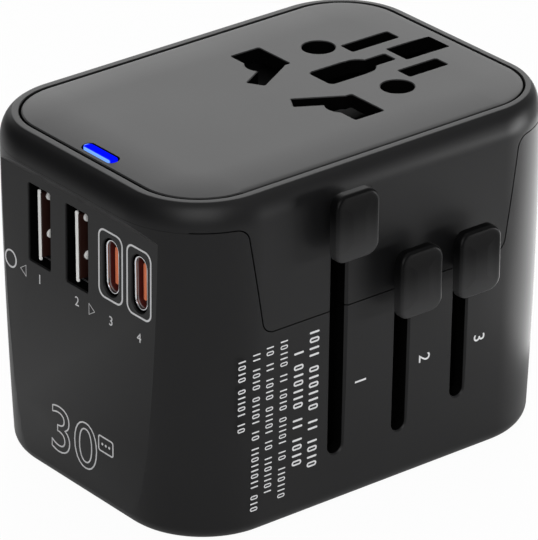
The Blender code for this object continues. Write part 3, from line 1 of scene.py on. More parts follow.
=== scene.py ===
# %% [markdown]
# # A universal travel adapter
# The adapter is a black moulded brick. A face plate with the universal socket closes its top, four charging
# ports sit in one end, and three sliders in the long side push the European, British and American pins out of
# the foot. The CAD model already holds every piece at its real size and place. This lesson dresses it: it makes
# the visible mouldings finer, and gives each piece the surface of what it is made of.
#
# The CAD model could be edited by hand, but then its pieces would drift from the ones that its joints move.
# So it is loaded as a fixed frame, and everything made here is measured from it.

# %% Load the frame
import math

import bmesh
import bpy
from mathutils import Matrix, Vector


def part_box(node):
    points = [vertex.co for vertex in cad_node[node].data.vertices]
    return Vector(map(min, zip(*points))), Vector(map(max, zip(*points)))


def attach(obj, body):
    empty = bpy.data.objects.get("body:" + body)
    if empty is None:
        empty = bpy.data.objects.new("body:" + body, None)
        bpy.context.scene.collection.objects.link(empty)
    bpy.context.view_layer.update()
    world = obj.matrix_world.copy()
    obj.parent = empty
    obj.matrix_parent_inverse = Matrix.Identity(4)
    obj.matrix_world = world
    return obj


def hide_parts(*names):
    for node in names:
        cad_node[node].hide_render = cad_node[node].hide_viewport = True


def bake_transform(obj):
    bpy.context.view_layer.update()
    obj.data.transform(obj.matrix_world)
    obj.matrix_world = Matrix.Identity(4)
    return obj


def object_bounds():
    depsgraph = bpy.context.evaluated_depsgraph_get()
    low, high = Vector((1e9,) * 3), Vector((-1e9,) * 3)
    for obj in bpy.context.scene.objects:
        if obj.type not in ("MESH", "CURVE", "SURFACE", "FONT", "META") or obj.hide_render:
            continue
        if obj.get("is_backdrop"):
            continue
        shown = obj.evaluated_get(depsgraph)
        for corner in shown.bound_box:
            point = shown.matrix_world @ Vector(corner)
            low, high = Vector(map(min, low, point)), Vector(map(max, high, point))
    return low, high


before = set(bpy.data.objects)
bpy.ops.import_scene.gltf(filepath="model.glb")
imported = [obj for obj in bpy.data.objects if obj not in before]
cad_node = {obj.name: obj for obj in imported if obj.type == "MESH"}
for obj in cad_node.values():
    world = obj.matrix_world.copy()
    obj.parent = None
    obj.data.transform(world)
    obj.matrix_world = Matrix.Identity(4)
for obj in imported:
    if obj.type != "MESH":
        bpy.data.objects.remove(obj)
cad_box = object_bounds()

MM = 0.001
cad_size = cad_box[1] - cad_box[0]


def mm(*lengths):
    return tuple(length * MM for length in lengths)


print("CAD box in mm:", [round(side / MM, 1) for side in cad_size])

# %% [markdown]
# ## Where the adapter is seen from
# A product picture is taken from far away with a long lens, so that the sides hardly converge. The camera could
# be aimed by eye. Here its place is worked out from the line through the two round holes of the socket, a turn
# round the vertical and a height above the table, so that the view can be changed by one number at a time.

# %% Camera
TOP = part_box("socket_plate")[1].z
SOCKET_X = 16.67 * MM  # the line through the two round holes
AIM = Vector((SOCKET_X, 0.0, TOP))
TURN, HEIGHT = math.radians(-38.28), math.radians(25.88)
DISTANCE = 747.0 * MM
SHIFT_RIGHT, SHIFT_UP = -13.47 * MM, -30.92 * MM
LENS, SENSOR, FAR_CLIP = 327.6, 36.0, 20.0

back = Vector((math.sin(TURN) * math.cos(HEIGHT), -math.cos(TURN) * math.cos(HEIGHT), math.sin(HEIGHT)))
right = Vector((math.cos(TURN), math.sin(TURN), 0.0))
up = back.cross(right)
camera = bpy.data.objects.new("camera", bpy.data.cameras.new("camera"))
camera.data.lens, camera.data.sensor_width, camera.data.clip_end = LENS, SENSOR, FAR_CLIP
camera.matrix_world = Matrix((right, up, back)).transposed().to_4x4()
camera.location = AIM + right * SHIFT_RIGHT + up * SHIFT_UP + back * DISTANCE
bpy.context.scene.collection.objects.link(camera)
bpy.context.scene.camera = camera
print("camera at", [round(c / MM) for c in camera.location], "mm")

# %% [markdown]
# ## Shader maths as plain Python
# A finish is a graph of nodes. Wiring each Math node by hand hides the idea behind the wires. One small class
# wraps a socket and adds the Math node when two sockets are added or multiplied, so that a mask reads like the
# formula it is. One method adds every other kind of node.

# %% A socket that can be calculated with
def sign(operation, turned=False):
    """What Python does for a sign between two values: it adds one Math node."""
    def calculate(self, other):
        first, second = (other, self) if turned else (self, other)
        return self.look.node("ShaderNodeMath", {"operation": operation}, {0: first, 1: second})

    return calculate


class Value:
    """A number that varies over a surface: the output of a shader node."""

    def __init__(self, look, socket):
        self.look, self.socket = look, socket

    __add__, __radd__ = sign("ADD"), sign("ADD", True)
    __sub__, __rsub__ = sign("SUBTRACT"), sign("SUBTRACT", True)
    __mul__, __rmul__ = sign("MULTIPLY"), sign("MULTIPLY", True)
    __lt__, __gt__, larger = sign("LESS_THAN"), sign("GREATER_THAN"), sign("MAXIMUM")

    def between(self, low, high):
        """1 from low to high, and 0 outside."""
        return (self > low) * (self < high)


print("signs that add a Math node: +, -, *, < and >")

# %% A material and the one method that adds its nodes
class Look:
    """One material. Its Principled shader takes constants directly and varying values as links."""

    def __init__(self, name, **constants):
        self.material = bpy.data.materials.new(name)
        self.material.use_nodes = True
        self.tree = self.material.node_tree
        self.shader = self.tree.nodes["Principled BSDF"]
        self.set(**constants)

    def pick(self, sockets, key):
        """The socket of that number, or the first one in use with that name."""
        if isinstance(key, int):
            return sockets[key]
        return next(socket for socket in sockets if socket.name == key and socket.enabled)

    def feed(self, socket, value):
        if isinstance(value, Value):
            self.tree.links.new(value.socket, socket)
        elif hasattr(socket.default_value, "__len__") and len(socket.default_value) == 4:
            socket.default_value = (*tuple(value)[:3], 1.0)
        else:
            socket.default_value = value

    def node(self, kind, settings=None, inputs=None, output=0):
        made = self.tree.nodes.new(kind)
        for name, value in (settings or {}).items():
            setattr(made, name, value)
        for key, value in (inputs or {}).items():
            self.feed(self.pick(made.inputs, key), value)
        return Value(self, self.pick(made.outputs, output))

    def set(self, **inputs):
        """Base_Color=... sets or links the shader's Base Color, and so on."""
        for name, value in inputs.items():
            self.feed(self.pick(self.shader.inputs, name.replace("_", " ")), value)
        return self

    def places(self):
        return self.node("ShaderNodeTexCoord", output="Object")

    def coordinate(self, axis):
        return self.node("ShaderNodeSeparateXYZ", {}, {0: self.places()}, output=axis)

    def noise(self, scale, detail=2.0, stretch=(1.0, 1.0, 1.0)):
        """Noise from 0 to 1. The scale counts features in a metre."""
        at = self.node("ShaderNodeMapping", {}, {"Vector": self.places(), "Scale": stretch})
        return self.node("ShaderNodeTexNoise", {}, {"Vector": at, "Scale": scale, "Detail": detail})

    def grain(self, speck):
        """The two sizes of grain that the moulding tools leave, as heights."""
        return speck * 0.6 + self.noise(7000.0, 1.0) * 0.4

    def fade(self, value, start, end, kind="SMOOTHSTEP"):
        """From 0 at start to 1 at end. The end may be the smaller of the two."""
        (low, first), (high, last) = sorted(((start, 0.0), (end, 1.0)))
        inputs = {"Value": value, "From Min": low, "From Max": high, "To Min": first, "To Max": last}
        return self.node("ShaderNodeMapRange", {"interpolation_type": kind}, inputs)

    def mix(self, share, first, second):
        """A colour between the two."""
        inputs = {"Factor": share, "A": first, "B": second}
        return self.node("ShaderNodeMix", {"data_type": "RGBA"}, inputs, output="Result")

    def bump(self, height, strength, distance):
        inputs = {"Height": height, "Strength": strength, "Distance": distance}
        return self.node("ShaderNodeBump", {}, inputs, output="Normal")

    def covered(self, *layers):
        """Lays shaders over the main one. Each layer is (share, shader)."""
        surface = Value(self, self.shader.outputs[0])
        for share, layer in layers:
            surface = self.node("ShaderNodeMixShader", {}, {0: share, 1: surface, 2: layer})
        self.feed(self.tree.nodes["Material Output"].inputs["Surface"], surface)
        return self

    def painted_shade_where(self, share):
        """Painted shade: turns to a sheenless black where share is 1, as on the walls of a deep hole."""
        inputs = {"Base Color": (0.002, 0.002, 0.002), "Roughness": 0.9, "Specular IOR Level": 0.0}
        return self.covered((share, self.node("ShaderNodeBsdfPrincipled", {}, inputs)))


print("shader kit ready")

# %% [markdown]
# ## Moulded plastic
# The casing is injection moulded in a tool with a fine spark-eroded texture. It breaks up reflections into a
# satin sheen without looking rough. A flat colour with a middling roughness would look like rubber. Two sizes of
# grain in the bump, and a faint drift of tone and gloss, give the satin that catches light at a low angle.

# %% Plastic finishes
def times(colour, factor):
    return tuple(factor * c for c in colour)


def satin(name, dark, pale, roughness, specular, strength=0.25):
    """Moulded plastic between two tones. Roughness is that of its glossiest spots."""
    look = Look(name, Specular_IOR_Level=specular)
    drift, speck = look.noise(70.0, 3.0), look.noise(2600.0)
    return look.set(
        Base_Color=look.mix(drift * 0.7 + speck * 0.3, dark, pale),
        Roughness=roughness + drift * 0.04 + speck * 0.02,
        Normal=look.bump(look.grain(speck), strength, 0.012 * MM),
    )


def moulded(name, colour, roughness, specular, strength=0.25):
    return satin(name, times(colour, 0.86), times(colour, 1.14), roughness - 0.03, specular, strength)


finish = {
    "frame": moulded("inner_frame_black", (0.0050, 0.0050, 0.0052), 0.60, 0.12, 0.4),
    "orange": moulded("tongue_orange", (0.95, 0.215, 0.075), 0.38, 0.5, 0.15),
    "brown": moulded("lead_brown", (0.11, 0.036, 0.014), 0.42, 0.5, 0.2),
    "blue": moulded("lead_blue", (0.016, 0.07, 0.36), 0.42, 0.5, 0.2),
    "white": moulded("lamp_white", (0.78, 0.78, 0.74), 0.40, 0.5, 0.15),
    "ceramic": moulded("fuse_ceramic", (0.74, 0.72, 0.66), 0.30, 0.5, 0.2),
}
print("plastic finishes:", len(finish))

# %% [markdown]
# ## Metals
# The pins are nickel plated or bare brass, drawn along their length, and the port shells are polished steel.
# Drawing leaves fine lines along the metal. Stretching a noise along one axis gives those lines in the gloss and
# in a shallow bump, which turns a mirror into metal that has been through a die.

# %% Metal finishes
def drawn_metal(name, colour, roughness, stretch):
    look = Look(name, Metallic=1.0)
    lines, stain = look.noise(900.0, 3.0, stretch), look.noise(160.0)
    return look.set(
        Base_Color=look.mix(stain, times(colour, 0.80), colour),
        Roughness=roughness - 0.05 + lines * 0.07 + stain * 0.05,
        Normal=look.bump(lines, 0.2, 0.008 * MM),
    )


UPRIGHT, ACROSS, ALONG = (1.0, 1.0, 0.04), (1.0, 0.04, 1.0), (0.04, 1.0, 1.0)
NICKEL, BRASS = (0.72, 0.70, 0.66), (0.78, 0.57, 0.28)
finish |= {
    "brass": drawn_metal("pin_brass", BRASS, 0.26, UPRIGHT),
    "leaf": drawn_metal("contact_brass", (0.74, 0.50, 0.22), 0.32, ALONG),
    "spring": drawn_metal("spring_steel", (0.56, 0.56, 0.58), 0.28, ACROSS),
    "can": drawn_metal("capacitor_can", (0.70, 0.71, 0.73), 0.34, UPRIGHT),
    "screw": drawn_metal("screw_steel", (0.30, 0.30, 0.31), 0.34, UPRIGHT),
}
print("finishes so far:", len(finish))

# %% [markdown]
# ## Boards, windings and small parts
# The parts inside are seen only through the openings, yet each has its own look: solder mask over faint copper
# tracks, lacquered wire wound in rows, pressed ferrite. Each needs one pattern at the right scale. Wave and
# brick textures give straight, repeating marks at once, where modelled ones would cost thousands of faces.

# %% Finishes of the parts inside
def board_finish():
    look = Look("board_green", Specular_IOR_Level=0.5)
    settings = {"offset": 0.5, "squash": 1.0}
    inputs = {"Vector": look.places(), "Color1": (1, 1, 1), "Color2": (1, 1, 1), "Mortar": (0, 0, 0),
              "Scale": 420.0, "Mortar Size": 0.03, "Brick Width": 0.9, "Row Height": 0.35}
    tracks = look.node("ShaderNodeTexBrick", settings, inputs, output="Fac")
    speck = look.noise(1500.0)
    mask = look.mix(speck, (0.010, 0.095, 0.040), (0.016, 0.125, 0.055))
    return look.set(
        Base_Color=look.mix(tracks * 0.6, mask, (0.045, 0.235, 0.095)),
        Roughness=0.30 + speck * 0.12,
        Normal=look.bump(tracks, 0.35, 0.02 * MM),
    )


def wound_finish():
    look = Look("winding_copper", Metallic=1.0)
    settings = {"wave_type": "BANDS", "bands_direction": "Z"}
    rows = look.node("ShaderNodeTexWave", settings, {"Vector": look.places(), "Scale": 420.0}, output="Fac")
    return look.set(
        Base_Color=look.mix(rows, (0.34, 0.13, 0.05), (0.80, 0.38, 0.16)),
        Roughness=0.42 - rows * 0.12,
        Normal=look.bump(rows, 0.6, 0.05 * MM),
    )


def pressed_finish(name, colour, roughness):
    look = Look(name, Specular_IOR_Level=0.4)
    grains = look.noise(3200.0, 3.0)
    return look.set(
        Base_Color=look.mix(grains, colour, times(colour, 1.5)),
        Roughness=roughness + grains * 0.12,
        Normal=look.bump(grains, 0.4, 0.02 * MM),
    )


finish |= {
    "board": board_finish(),
    "winding": wound_finish(),
    "ferrite": pressed_finish("ferrite_grey", (0.045, 0.045, 0.050), 0.62),
    "chip": pressed_finish("chip_black", (0.018, 0.018, 0.020), 0.48),
}
print("finishes so far:", len(finish))

# %% [markdown]
# ## Dressing the carried-over pieces
# Most pieces inside already have the right shape in the CAD model, so they keep it and get a better surface.
# A table from finish to piece names is easier to check than an assignment per piece.

# %% Give the CAD pieces their finishes
WEARS = {
    "frame": ["inner_frame", "contact_housing", "shutter", "eu_carriage", "uk_carriage", "us_carriage",
              "us_line_turret", "us_neutral_turret"],
    "leaf": ["line_contact", "neutral_contact"],
    "board": ["main_board", "port_board", "led_board"],
    "white": ["led_chip"],
    "ferrite": ["transformer_core", "choke"],
    "chip": ["power_chip"],
    "winding": ["transformer_winding"],
    "can": ["bulk_capacitor", "filter_capacitor", "output_capacitor"],
    "ceramic": ["fuse"],
    "brown": ["line_lead"],
    "blue": ["neutral_lead"],
}


def wear(piece, look):
    piece.data.materials.clear()
    piece.data.materials.append(look.material)


for look_name, names in WEARS.items():
    for name in names:
        wear(cad_node[name], finish[look_name])
print("dressed", sum(len(names) for names in WEARS.values()), "CAD pieces")

# %% [markdown]
# ## Tools for making solids
# Every moulding here is an outline that changes as it goes along one axis. A loft joins such outlines into a
# closed solid, and a loft with two outlines is a prism. The same outlines, a little larger or smaller, give the
# walls and the rounded edges. That keeps a wall even, which scaling a finished mesh wouldn't do.

# %% Outlines
ARC = 24


def rounded_rect(half_u, half_v, radius, steps=ARC, centre=(0.0, 0.0)):
    points = []
    for quarter, (su, sv) in enumerate(((1, 1), (-1, 1), (-1, -1), (1, -1))):
        cu, cv = centre[0] + su * (half_u - radius), centre[1] + sv * (half_v - radius)
        for step in range(steps + 1):
            angle = math.pi / 2 * (quarter + step / steps)
            points.append((cu + radius * math.cos(angle), cv + radius * math.sin(angle)))
    return points


def circle(radius, centre, count=48):
    turns = [2 * math.pi * k / count for k in range(count)]
    return [(centre[0] + radius * math.cos(a), centre[1] + radius * math.sin(a)) for a in turns]


def even_rect(half_u, half_v, radius, steps=ARC, centre=(0.0, 0.0)):
    """A rounded rectangle as a function of how far its edge is moved out."""
    return lambda grow: rounded_rect(half_u + grow, half_v + grow, radius + grow, steps, centre)


def even_circle(radius, centre):
    """A circle in the same way."""
    return lambda grow: circle(radius + grow, centre)


def rounded_polygon(corners, steps=8):
    """corners is a list of (u, v, radius), and a radius of 0 keeps a corner sharp."""
    points = []
    for k, (u, v, radius) in enumerate(corners):
        at = Vector((u, v))
        if not radius:
            points.append((u, v))
            continue
        before = (Vector(corners[k - 1][:2]) - at).normalized()
        after = (Vector(corners[(k + 1) % len(corners)][:2]) - at).normalized()
        half = before.angle(after) / 2
        middle = at + (before + after).normalized() * radius / math.sin(half)
        start = at + before * radius / math.tan(half) - middle
        end = at + after * radius / math.tan(half) - middle
        for step in range(steps + 1):
            points.append(tuple(middle + start.slerp(end, step / steps).normalized() * radius))
    return points


def flipped(outline):
    """(x, z) points in the (z, x) order that a loft along Y takes."""
    return [(v, u) for u, v in outline]


def turned(outline, angle, middle):
    spin = Matrix.Rotation(angle, 2)
    return [tuple(Vector(middle) + spin @ Vector(point)) for point in outline]


def rounding(steps, turn=math.pi / 2):
    """Steps round an edge of radius 1: how far there is to go one way, and how far it has gone the other."""
    angles = [turn * step / steps for step in range(steps + 1)]
    return [(1 - math.sin(angle), 1 - math.cos(angle)) for angle in angles]


print("outline tools ready, with", ARC, "steps round a corner")

# %% Solids
AXES = {"X": lambda u, v, w: (w, u, v), "Y": lambda u, v, w: (v, w, u), "Z": lambda u, v, w: (u, v, w)}


def loft(levels, axis="Z"):
    """A closed solid. levels is a list of (outline, w), and w may be a function of the point."""
    solid = bmesh.new()
    put = AXES[axis]
    rings = []
    for outline, w in levels:
        rings.append([solid.verts.new(put(u, v, w(u, v) if callable(w) else w)) for u, v in outline])
    for lower, upper in zip(rings, rings[1:]):
        for k in range(len(lower)):
            after = (k + 1) % len(lower)
            solid.faces.new((lower[k], lower[after], upper[after], upper[k]))
    solid.faces.new(reversed(rings[0]))
    solid.faces.new(rings[-1])
    bmesh.ops.recalc_face_normals(solid, faces=solid.faces)
    return solid


def stack(outline_at, steps, axis="Z"):
    """A loft of one outline. steps is a list of (what outline_at takes, w)."""
    return loft([(outline_at(grow), w) for grow, w in steps], axis)


def steps_from(base, *steps):
    """Steps given in millimetres, with their places counted from the base."""
    return [(grow * MM, base + place * MM) for grow, place in steps]


def lathe(middle, steps, axis="Z", count=48):
    """A turned solid. steps is a list of (radius, w)."""
    return stack(lambda radius: circle(radius, middle, count), steps, axis)


def prism(outline, w0, w1, axis="Z"):
    return loft([(outline, w0), (outline, w1)], axis)


def box(x0, x1, y0, y1, z0, z1):
    return prism([(x0, y0), (x1, y0), (x1, y1), (x0, y1)], z0, z1)


def together(*solids):
    """One mesh of several solids that don't touch."""
    joined = bmesh.new()
    for solid in solids:
        spare = bpy.data.meshes.new("spare")
        solid.to_mesh(spare)
        solid.free()
        joined.from_mesh(spare)
        bpy.data.meshes.remove(spare)
    return joined


print("solids can be built along", ", ".join(sorted(AXES)))

# %% Pieces, carving and smoothing
SHARP_FROM = math.radians(20.0)


def evaluated_mesh(made):
    bpy.context.view_layer.update()
    return bpy.data.meshes.new_from_object(made.evaluated_get(bpy.context.evaluated_depsgraph_get()))


def middle_of(name, axis):
    low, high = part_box(name)
    return (low[axis] + high[axis]) / 2


def half_of(name, axis):
    low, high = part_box(name)
    return (high[axis] - low[axis]) / 2


def object_of(name, solid):
    mesh = bpy.data.meshes.new(name)
    solid.to_mesh(mesh)
    solid.free()
    made = bpy.data.objects.new(name, mesh)
    bpy.context.scene.collection.objects.link(made)
    return made


def carve(piece, operation, *solids):
    """Exact Booleans, applied at once, so that no tool stays in the scene."""
    for solid in solids:
        tool, old_mesh = object_of("tool", solid), piece.data
        modifier = piece.modifiers.new("carve", "BOOLEAN")
        modifier.operation, modifier.solver, modifier.object = operation, "EXACT", tool
        piece.data = evaluated_mesh(piece)
        piece.modifiers.clear()
        tool_mesh = tool.data
        bpy.data.objects.remove(tool)
        bpy.data.meshes.remove(old_mesh)
        bpy.data.meshes.remove(tool_mesh)


def finished(piece, look_name, slot, stands_for=None, body="casing"):
    """Smooths a piece, gives it its finish and its body, and hides the CAD piece it stands for."""
    piece.data.shade_smooth()
    piece.data.set_sharp_from_angle(angle=SHARP_FROM)
    wear(piece, finish[look_name])
    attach(piece, body)
    if stands_for:
        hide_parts(stands_for)
    return piece


def moulding(name, solid, *wears):
    """A new piece, finished in one go. wears is what finished takes after the piece."""
    return finished(object_of(name, solid), *wears)


print("edges stay sharp from", round(math.degrees(SHARP_FROM)), "degrees")

# %% [markdown]
# ## The casing
# The lower housing and the cap are two mouldings that meet in a seam. On the slider side the cap has a tongue
# that comes down over the housing, with rounded corners. The walls lean out towards the seam, so that the
# moulding can leave its tool. The skin is lofted once: up from the foot, over a round shoulder and a narrow flat
# lip, and down into the pocket of the face plate. Then one cutter for each half splits it along the seam.
# Splitting one skin keeps the two halves flush, which two separate lofts would only do by luck.

# %% Casing values
FIT = 0.3 * MM
HALF_LENGTH, HALF_DEPTH = cad_box[1].x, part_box("lower_housing")[1].y
BODY_HEIGHT, SEAM_HEIGHT = cad_box[1].z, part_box("lower_housing")[1].z
FRONT, BEYOND = -HALF_DEPTH, 2 * HALF_LENGTH
CORNER_RADIUS, FOOT_FILLET, TOP_EDGE, RIM_DROP = mm(15.0, 2.5, 4.3, 0.68)
SIDE_FLARE, WALL, FLOOR = mm(1.2, 2.2, 2.2)
PLATE_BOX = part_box("socket_plate")
PLATE_BASE = PLATE_BOX[0].z
PLATE_HALF_LENGTH, PLATE_HALF_DEPTH = PLATE_BOX[1].x - 1.2 * MM, PLATE_BOX[1].y - 0.8 * MM
PLATE_CORNER, PLATE_SHIFT = mm(10.2, 0.3)
POCKET_FLOOR = PLATE_BASE - FIT
LEDGE_WIDTH, LEDGE_BASE = 1.5 * MM, POCKET_FLOOR - 0.9 * MM
print("casing", round(2 * HALF_LENGTH / MM, 2), "x", round(2 * HALF_DEPTH / MM, 2), "x",
      round(BODY_HEIGHT / MM, 2), "mm, seam at", round(SEAM_HEIGHT / MM, 2))


def side_inset(z):
    """How far a side stands in at height z from where it is at the seam."""
    drop = max(SEAM_HEIGHT - z, 0.0) / SEAM_HEIGHT
    return SIDE_FLARE * drop * drop


body_ring = even_rect(HALF_LENGTH, HALF_DEPTH, CORNER_RADIUS)
plate_ring = even_rect(PLATE_HALF_LENGTH, PLATE_HALF_DEPTH, PLATE_CORNER, ARC, (PLATE_SHIFT, 0.0))

# %% The casing's skin
RIM_RISE = 0.52 * MM  # how much higher the rim is at the plain end than at the ports
RIM_TOP, LIP_EDGE = BODY_HEIGHT - RIM_DROP, 0.12 * MM
SHOULDER_TURN, LIP_DROP = math.radians(68.0), 0.20 * MM
LIP = [(0.655, 0.045), (0.69, 0.01), (0.73, 0.0), (1.0, 0.0)]  # share of the way in, drop in millimetres


def rise(x):
    return RIM_RISE * (x + HALF_LENGTH) / (2 * HALF_LENGTH)


def with_rise(solid):
    """Lifts the rim of a lofted skin towards the plain end and leaves all below the pocket's floor."""
    for v in solid.verts:
        v.co.z += rise(v.co.x) * max(0.0, v.co.z - POCKET_FLOOR) / (RIM_TOP - POCKET_FLOOR)
    return solid


def rim_ring(share):
    """The outline between the cap's side, at share 0, and the edge of the plate's pocket, at 1."""
    pairs = zip(body_ring(0.0), plate_ring(FIT + LIP_EDGE))
    return [(u + (x - u) * share, v + (y - v) * share) for (u, v), (x, y) in pairs]


def skin_levels():
    """From the foot up, over the shoulder and the lip into the pocket, and down the inside to the floor."""
    rows = []
    for left, up in rounding(8):
        z = FOOT_FILLET * up
        rows.append((side_inset(z) + FOOT_FILLET * left, z))
    heights = [FOOT_FILLET + (SEAM_HEIGHT - FOOT_FILLET) * step / 12 for step in range(1, 13)]
    levels = [(body_ring(-inset), z) for inset, z in rows + [(side_inset(z), z) for z in heights]]
    shoulder = rounding(12, SHOULDER_TURN)
    levels += [(rim_ring(inward), RIM_TOP + LIP_DROP - TOP_EDGE * left) for left, inward in shoulder]
    levels += [(rim_ring(share), RIM_TOP - drop * MM) for share, drop in LIP]
    levels += [(plate_ring(FIT), z) for z in (RIM_TOP - LIP_EDGE, POCKET_FLOOR)]
    levels += [(plate_ring(-LEDGE_WIDTH), z) for z in (POCKET_FLOOR, LEDGE_BASE)]
    heights = (LEDGE_BASE, 0.6 * SEAM_HEIGHT, 0.3 * SEAM_HEIGHT, FLOOR)
    return levels + [(body_ring(-side_inset(z) - WALL), z) for z in heights]


print("outlines in the casing's skin:", len(skin_levels()))

# %% The seam
TONGUE_TOP, TONGUE_FOOT, TONGUE_BASE, TONGUE_CORNER, SEAM_CORNER = mm(25.7, 22.8, 33.6, 2.0, 2.2)
SEAM_GAP, CLOSED_GAP = mm(0.2, 0.04)  # the second is over the ports, where no line shows


def seam_line(grow):
    """The cap's edge on the slider side, as a closed (x, z) outline widened downwards by grow."""
    seam, base, over = SEAM_HEIGHT + SEAM_GAP - grow, TONGUE_BASE - grow, BODY_HEIGHT + WALL
    top, foot = TONGUE_TOP + grow, TONGUE_FOOT + grow
    inner, outer = SEAM_CORNER - grow, TONGUE_CORNER + grow
    return rounded_polygon([
        (-BEYOND, seam, 0.0), (-top, seam, inner), (-foot, base, outer), (foot, base, outer),
        (top, seam, inner), (BEYOND, seam, 0.0), (BEYOND, over, 0.0), (-BEYOND, over, 0.0),
    ])


def seam_solid(grow):
    return prism(flipped(seam_line(grow)), FRONT - WALL, FRONT + CORNER_RADIUS, "Y")


def above_seam(grow):
    front, base = FRONT + CORNER_RADIUS - FIT, SEAM_HEIGHT + SEAM_GAP - grow
    return box(-BEYOND, BEYOND, front, BEYOND, base, BODY_HEIGHT + WALL)


def over_ports():
    """Brings the cap down to the housing along the end that has the ports."""
    end, front = CORNER_RADIUS - HALF_LENGTH, FRONT + 2 * WALL
    return box(-BEYOND, end, front, BEYOND, SEAM_HEIGHT + CLOSED_GAP, BODY_HEIGHT)


print("the cap's tongue is", round(2 * TONGUE_FOOT / MM, 1), "mm wide at height", round(TONGUE_BASE / MM, 1))

# %% [markdown]
# ## Slots, ports and openings
# A moulded opening never has a knife edge. Its rim is broken by a small chamfer, which is what shows as a fine
# bright line round a black hole. A bevel on the finished casing would stumble over the many small faces that a
# cut leaves. A cutter that flares where it meets the surface leaves the same chamfer, and the one along the
# slider slots follows the lean of the wall.

# %% Cutters with a flare
FLARE = 0.22 * MM


def front_y(z):
    return FRONT + side_inset(z)


def flared_hole(outline_at, surface, depth, axis, facing, flare=FLARE):
    """A cutter through a wall. surface gives the wall's place along the axis, and facing its outer side."""
    def at(out):
        return lambda u, v: surface(u, v) + facing * out

    return stack(outline_at, [(3 * flare, at(2 * flare)), (0.0, at(-flare)), (0.0, at(-depth))], axis)


print("flare at a rim:", round(FLARE / MM, 2), "mm")

# %% Sliders: where they are, and their slots
SLOT_OVER = 2.8 * MM  # from the middle of a button up to the end of its slot


class Slider:
    """A button and its slot. At rest the button's neck is just below the slot's upper end."""

    def __init__(self, key, slot_width, slot_base):
        self.key, self.button, self.slot_width = key, f"{key}_button", slot_width
        low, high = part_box(self.button)
        self.x, self.z = middle_of(self.button, 0), middle_of(self.button, 2)
        self.front, self.back = low.y, high.y
        self.slot_top = self.z + SLOT_OVER
        middle, half = ((slot_base + self.slot_top) / 2, self.x), (self.slot_top - slot_base) / 2
        self.slot_outline = even_rect(half, slot_width / 2, slot_width / 2, 10, middle)


sliders = [Slider("eu", *mm(2.75, 9.0)), Slider("uk", *mm(2.65, 8.9)), Slider("us", *mm(2.60, 11.1))]
for slider in sliders:
    print(slider.key, "slider at x", round(slider.x / MM, 2), "z", round(slider.z / MM, 2))

# %% Ports: where they are
PANEL_X, PANEL_LEAN, PANEL_SLOPE, PANEL_BASE, PORT_Z = mm(-36.2, 0.6, 2.3, 20.0, 40.95)
PANEL_BACK, PANEL_HALF = PANEL_X + 2.0 * MM, HALF_DEPTH - 9.1 * MM
PANEL_FOOT = SEAM_HEIGHT - PANEL_SLOPE
a_ports = [middle_of(f"usb_a_shell_{number}", 1) for number in (1, 2)]
c_ports = [middle_of(f"usb_c_shell_{number}", 1) for number in (1, 2)]
print("ports at y", [round(y / MM, 2) for y in a_ports + c_ports], "mm")


def panel_x(z):
    return PANEL_X - PANEL_LEAN * (PANEL_FOOT - z) / PANEL_FOOT


def panel_cutter():
    """Leaves the port panel flat, with a slope out to the seam over it."""
    outside = -HALF_LENGTH - WALL
    climb = PANEL_SLOPE * (outside - PANEL_X) / (-HALF_LENGTH - FIT - PANEL_X)
    wall = [(PANEL_X - PANEL_LEAN, 0.0), (PANEL_X, PANEL_FOOT)]
    outline = [(outside, 0.0), *wall, (outside, PANEL_FOOT + climb)]
    return prism(flipped(outline), -2 * HALF_DEPTH, 2 * HALF_DEPTH, "Y")


def port_cutters():
    outlines = [even_rect(*mm(2.75, 6.35, 0.35), 5, (y, PORT_Z)) for y in a_ports]
    outlines += [even_rect(*mm(1.9, 4.65, 1.9), 14, (y, PORT_Z)) for y in c_ports]
    return together(*[flared_hole(outline_at, lambda u, z: panel_x(z), 4.4 * MM, "X", -1, 0.12 * MM)
                      for outline_at in outlines])


# %% Openings in the foot
PLAY = 0.4 * MM
TWIST = math.radians(30.0)


def pin_box(name):
    return middle_of(name, 0), middle_of(name, 1), half_of(name, 0), half_of(name, 1)


def blade_sweep(half_length, half_width):
    """The opening that a blade sweeps as it turns about its middle."""
    reach, lean = math.hypot(half_length, half_width), math.atan2(half_width, half_length)
    arc = [-lean + (TWIST + 2 * lean) * k / 6 for k in range(7)]
    near = [(reach * math.cos(a), reach * math.sin(a)) for a in arc]
    near.append((-half_width * math.tan(TWIST / 2), half_width))
    return near + [(-u, -v) for u, v in near]


def round_opening(x, y, radius, _):
    return even_circle(radius + PLAY, (x, y))


def flat_opening(x, y, half_u, half_v):
    return even_rect(half_u + PLAY, half_v + PLAY, PLAY, 4, (x, y))


def swept_opening(x, y, half_u, half_v):
    side = 1 if y > 0 else -1
    return lambda grow: [
        (x + u, y + side * v) for u, v in blade_sweep(half_u + PLAY + grow, half_v + PLAY + grow)]


OPENINGS = {
    round_opening: ["eu_line_pin", "eu_neutral_pin"],
    flat_opening: ["uk_line_pin", "uk_neutral_pin", "uk_earth_pin"],
    swept_opening: ["us_line_blade", "us_neutral_blade"],
}
SCREWS = {f"screw_{number}": pin_box(f"screw_{number}")[:3] for number in range(1, 5)}


def floor_cutters():
    return together(*[flared_hole(opening(*pin_box(name)), lambda x, y: 0.0, 2 * FLOOR, "Z", -1, 0.2 * MM)
                      for opening, names in OPENINGS.items() for name in names])


def screw_passages():
    holes = []
    for x, y, radius in SCREWS.values():
        head, shank = radius + FIT, 1.4 * MM
        holes.append(lathe((x, y), [(head + 0.4 * MM, -0.2 * MM), (head, 0.2 * MM), (head, 3.1 * MM),
                                    (shank, 3.1 * MM), (shank, 11.2 * MM)]))
    return together(*holes)


